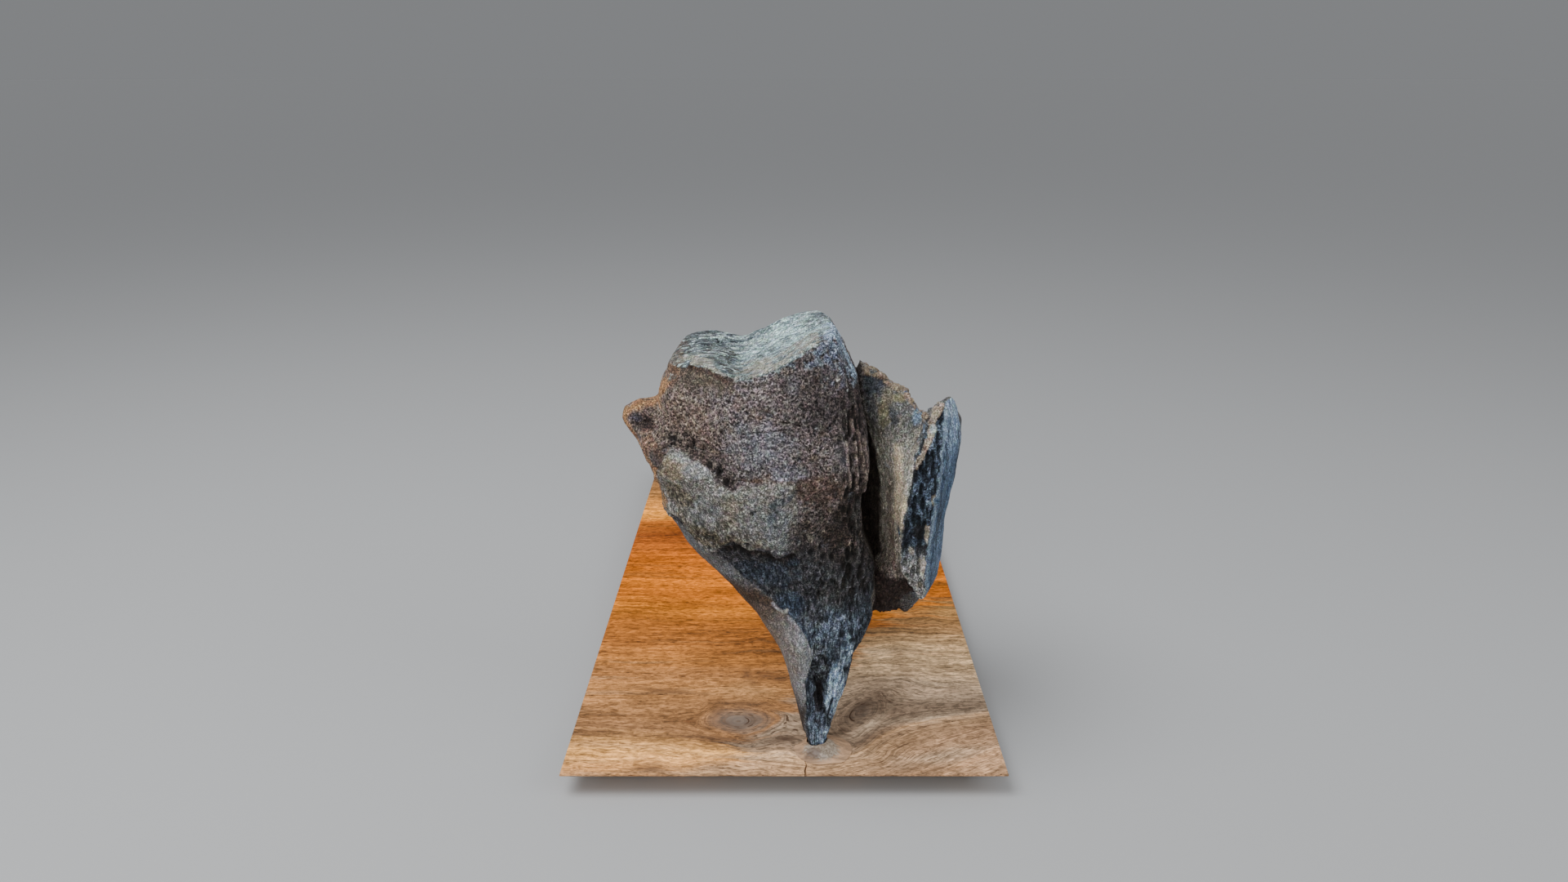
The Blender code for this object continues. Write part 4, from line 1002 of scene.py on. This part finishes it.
lay(spot(at, (64.8, -158, 148.5), (2, 20, 2.4)) * ease(ragged, -0.6, 0.2),
    (0.66, 0.76, 0.74), (0.34, 0.4, 0.39))
for centre, radius in [((-42.3, 180.6), 1.3), ((21.9, 175.4), 1), ((26.4, 170.6), 0.7), ((1.1, 69.4), 0.9)]:
    fleck = ease(radius - np.hypot(x + 0.3 * ragged - centre[0], height - centre[1]), 0, 0.5)
    lay(fleck * ease(-y, 150, 156), (0.62, 0.61, 0.57), (0.42, 0.41, 0.37))

foamy = spongy * (1.0 - strandy) * (1.0 - 0.75 * flake)
striped = strandy * 0.8 + behind * 0.8 + 0.9 * wall_out + 0.5 * wall_in + 0.6 * cap + 0.6 * neck_skin
striped = np.clip(striped + 0.25 * wall_edge, 0, 1)
# How much painted shade darkens each point: in the pores, the wall's gaps, the pits, the undercut and the
# neck's hollow.
depth = 0.6 * pores * spongy * (1.0 - 0.55 * flake) + 0.7 * long_gaps * wall_edge * (1.0 - crust)
depth += 0.55 * coarse_pores * (pit_band + mottled) * spongy
depth += coarse_pores * (coarse_patch * spongy + pit_line + undercut)
depth += neck_hollow * ease(-crumbs, -0.2, 0.5)

upright = np.stack([x, y, height * 0.2], axis=1)
swept = np.stack([0.17 * x + 0.11 * y, 0.85 * y - 0.52 * x, height], axis=1)
on_neck = (np.maximum(low_neck, neck_skin) * (1.0 - behind) > 0.5)[:, None]
flow = np.where(on_neck, fan_out, np.where(cap[:, None] > 0.5, swept, upright)) * mm

for name, values in [
    ("pores", np.clip(depth, 0, 1)), ("foamy", foamy), ("striped", striped),
    ("smooth", np.clip(skin + cap + 0.7 * shoulder, 0, 1)),
]:
    write_values(bone_mesh, name, values)
for name, values in [("light", light), ("deep", deep)]:
    layer = bone_mesh.attributes.new(name, "FLOAT_COLOR", "POINT")
    with_alpha = np.concatenate([np.clip(values, 0, 1), np.ones((len(values), 1))], axis=1)
    layer.data.foreach_set("color", with_alpha.astype(np.float32).ravel())
layer = bone_mesh.attributes.new("flow", "FLOAT_VECTOR", "POINT")
layer.data.foreach_set("vector", flow.astype(np.float32).ravel())
bone_mesh.attributes.remove(bone_mesh.attributes["crease"])
bone_mesh.shade_smooth()

fossil, tree = new_finish("fossil bone")
place = put("TexCoord", {}).outputs["Object"]
along_bone = put("Attribute", {}, attribute_name="flow").outputs["Vector"]
speckle = grain(place, 0.0012, 6, roughness=0.74, distortion=1.2)
fine_speckle = grain(place, 0.0007, 4, roughness=0.66)
strands = grain(along_bone, 0.0011, 6, roughness=0.7, distortion=0.5)
jitter = put("TexNoise", {"Vector": place, "Scale": 900, "Detail": 2}).outputs["Color"]
jitter = put("VectorMath", {0: jitter, 1: (0.0006, 0.0006, 0.0006)}, operation="MULTIPLY").outputs[0]
shaken = put("VectorMath", {0: place, 1: jitter}, operation="ADD").outputs[0]
# Tiny round pores, which take the hollows' dark colour as painted shade.
bubbles = put("TexVoronoi", {"Vector": shaken, "Scale": 700}, feature="F1")
bubble_kind = put("SeparateColor", {0: bubbles.outputs["Color"]}).outputs[0]
holes = calc("MULTIPLY", between(bubbles.outputs[0], 0.48, 0.22), between(bubble_kind, 0.1, 0.5))
foam_grain = calc("MULTIPLY", between(speckle, 0.4, 0.6), calc("SUBTRACT", 1, holes))
foam_share, stripe_share = value_of("foamy"), value_of("striped")
bite = put("Mix", {0: stripe_share, 2: speckle, 3: strands}).outputs[0]
grains = between(bite, 0.41, 0.62)
grains = calc("MULTIPLY", grains, between(fine_speckle, 0.36, 0.58, 0.35, 1))
grains = put("Mix", {0: foam_share, 2: grains, 3: foam_grain}).outputs[0]
light_colour = put("Attribute", {}, attribute_name="light").outputs["Color"]
deep_colour = put("Attribute", {}, attribute_name="deep").outputs["Color"]
colour = over(deep_colour, light_colour, grains)
colour = dimmed(colour, between(fine_speckle, 0.42, 0.64, 0.64, 1.7))
tinge = put("TexNoise", {"Vector": place, "Scale": 420, "Detail": 4}).outputs["Color"]
sockets = {0: tinge, 1: (0.5, 0.5, 0.5), 2: (0.75, 0.75, 0.75)}
tinge = put("VectorMath", sockets, operation="MULTIPLY_ADD").outputs[0]
colour = over(colour, tinge, 1, "MULTIPLY")
# Painted shade: the colour is darkened where the pores attribute is high.
painted_pore_shade = over(deep_colour, (0.25, 0.25, 0.25), 1, "MULTIPLY")
colour = over(colour, painted_pore_shade, calc("MULTIPLY", value_of("pores"), 0.85))
rubbed = calc("MULTIPLY", value_of("smooth"), 0.16)
roughness = calc("SUBTRACT", between(speckle, 0.3, 0.7, 0.62, 0.84), rubbed)
relief = calc("ADD", grains, calc("MULTIPLY", fine_speckle, 0.5))
shader = coat(bone, fossil, colour, roughness, relief, 0.6 * mm, 0.8)
shader.inputs["Specular IOR Level"].default_value = 0.18

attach(bone, "root")
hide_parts("fossil_bone")

# The wax is a dab of soft museum wax, pressed round the foot of the bone with a fingertip so that
# the tip stays where it stands. It is grey-beige and dusty, and the wood's grain shows through
# where it is thin.
wax = to_object("wax", shape_of("stand_wax"))
split_finer(wax, 3)
dab_points = read_points(wax.data)
dab_points = even_out(dab_points, edges_of(wax.data), 6, np.full(len(dab_points), 0.6))
write_points(wax.data, dab_points)

# The wax is drawn in round the tip, and thinned towards its rim.
socket_radius = 6.6 * mm
drawn_in_within = 10.0 * mm
clearance = 0.35 * mm
thinned_from, thinned_to = 5.0 * mm, 11.0 * mm
print_height = 0.25 * mm
tip_height = 3.4 * mm
tip_sectors = 24
tip = read_points(bone.data)
tip = tip[tip[:, 2] < board_top + tip_height, :2]
tip_centre = tip.mean(axis=0)


def polar(points):
    side_way, up_way = (points[:, :2] - tip_centre).T
    return np.arctan2(up_way, side_way), np.hypot(side_way, up_way)


tip_turn, tip_reach = polar(tip)
sector = np.floor((tip_turn / (2.0 * math.pi) + 0.5) * tip_sectors).astype(int) % tip_sectors
outer_reach = [tip_reach[sector == k].max(initial=2.0 * mm) for k in range(tip_sectors)]
sector_turn = ((np.arange(tip_sectors) + 0.5) / tip_sectors - 0.5) * 2.0 * math.pi
dab_turn, dab_reach = polar(dab_points)
snug = np.interp(dab_turn, sector_turn, outer_reach, period=2.0 * math.pi) + clearance
share = np.clip((dab_reach - socket_radius) / (drawn_in_within - socket_radius), 0, None)
new_reach = np.where(share < 1.0, snug + (drawn_in_within - snug) * share, dab_reach)
dab_points[:, :2] = tip_centre + (dab_points[:, :2] - tip_centre) * (new_reach / dab_reach)[:, None]
dab_low, dab_top = dab_points[:, 2].min(), dab_points[:, 2].max()
tall = np.clip((dab_points[:, 2] - dab_low) / (dab_top - dab_low), 0, 1)
tall = tall ** (1.0 + 2.0 * ease(new_reach, thinned_from, thinned_to))
dab_points[:, 2] = dab_low + (dab_top - dab_low) * tall
print_lines = lumps(dab_points, 0.002, 121, 2)
write_points(wax.data, dab_points)
lift = ease(tall, 0.02, 0.4) * (print_height * print_lines - 0.1 * mm)
write_points(wax.data, dab_points + normals_of(wax.data) * lift[:, None])
wax_at = (dab_points - np.array([0, 0, board_top])) / mm
wax_at[:, :2] += 0.9 * lumps(wax_at, 3, 131, 3)[:, None]
write_values(wax.data, "grey", ease(spot(wax_at, (17.5, -184.5, 2), (10, 8, 9)), 0.05, 0.6))
write_values(wax.data, "brown", ease(spot(wax_at, (13.2, -187.5, 2), (4.5, 4.5, 9)), 0.05, 0.6))
wax.data.shade_smooth()

wax_finish, tree = new_finish("museum wax")
place = put("TexCoord", {}).outputs["Object"]
smear = grain(place, 0.004, 4)
dust = grain(place, 0.001, 4, roughness=0.7)
wood_grain = grain(place, 0.0022, 5, (0.1, 1, 1), 0.7, 0.5)
under_wax = over((0.37, 0.222, 0.122), (0.17, 0.1, 0.056), between(wood_grain, 0.34, 0.66))
wax_grey = over((0.058, 0.045, 0.034), (0.235, 0.19, 0.142), between(dust, 0.34, 0.66))
grey_share = calc("ADD", value_of("grey"), between(dust, 0.35, 0.65, -0.3, 0.3))
colour = over(under_wax, wax_grey, between(grey_share, 0, 1, 0, 0.95))
brown_share = calc("MULTIPLY", value_of("brown"), between(smear, 0.3, 0.55, 0.5, 1))
colour = over(colour, (0.068, 0.04, 0.026), calc("MULTIPLY", brown_share, 0.85))
coat(wax, wax_finish, colour, between(smear, 0.3, 0.7, 0.42, 0.62), smear, 0.3 * mm, 0.4)

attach(wax, "root")
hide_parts("stand_wax")

# The floor is a plain pale sheet that the board lies on, wide enough to reach out of sight.
floor_radius = 60.0
sheet = bmesh.new()
bmesh.ops.create_circle(sheet, cap_ends=True, segments=96, radius=floor_radius)
floor = to_object("floor", sheet)
paper, tree = new_finish("pale paper")
tree.nodes["Principled BSDF"].inputs["Base Color"].default_value = (0.26, 0.26, 0.26, 1)
tree.nodes["Principled BSDF"].inputs["Roughness"].default_value = 0.9
floor.data.materials.append(paper)

# Soft studio light: a large cool panel above and to the left, a weak one on the right, a low
# warm one in front, and a grey sky that darkens behind the bone and towards the floor's far edge.
lit_point = (0, -0.12, 0.1)
for name, spot_at, size, power, tint in [
    ("panel_above", (-0.45, -0.35, 1.1), 0.7, 19, (0.94, 0.97, 1)),
    ("panel_right", (0.9, -0.5, 0.6), 0.6, 4.5, (0.94, 0.97, 1)),
    ("panel_front", (-0.25, -1.2, 0.45), 0.8, 10, (1, 0.96, 0.92)),
]:
    lamp = bpy.data.lights.new(name, "AREA")
    lamp.size = size
    lamp.energy = power
    lamp.color = tint
    lamp_object = bpy.data.objects.new(name, lamp)
    lamp_object.location = spot_at
    aim = Vector(lit_point) - Vector(spot_at)
    lamp_object.rotation_euler = aim.to_track_quat("-Z", "Y").to_euler()
    bpy.context.scene.collection.objects.link(lamp_object)
sky = bpy.data.worlds.new("studio")
sky.use_nodes = True
tree = sky.node_tree
way = put("SeparateXYZ", {0: put("TexCoord", {}).outputs["Generated"]}).outputs
above = calc("MULTIPLY", way[2], between(way[1], 0, 1, 1, 0.15))
sky_colour = over((0.213, 0.219, 0.227), (0.8, 0.82, 0.85), between(above, 0, 0.42))
tree.links.new(sky_colour, tree.nodes["Background"].inputs["Color"])
tree.nodes["Background"].inputs["Strength"].default_value = 1.04
bpy.context.scene.world = sky

# The camera stands a little above the bone, close in front of the board.
lens = bpy.data.cameras.new("camera")
lens.lens = 24.45
lens.sensor_width = 36.0
lens.clip_start = 0.01
camera = bpy.data.objects.new("camera", lens)
camera.location = (0, -0.5991, 0.307)
camera.rotation_euler = (math.radians(70.9), 0, 0)
bpy.context.scene.collection.objects.link(camera)
bpy.context.scene.camera = camera
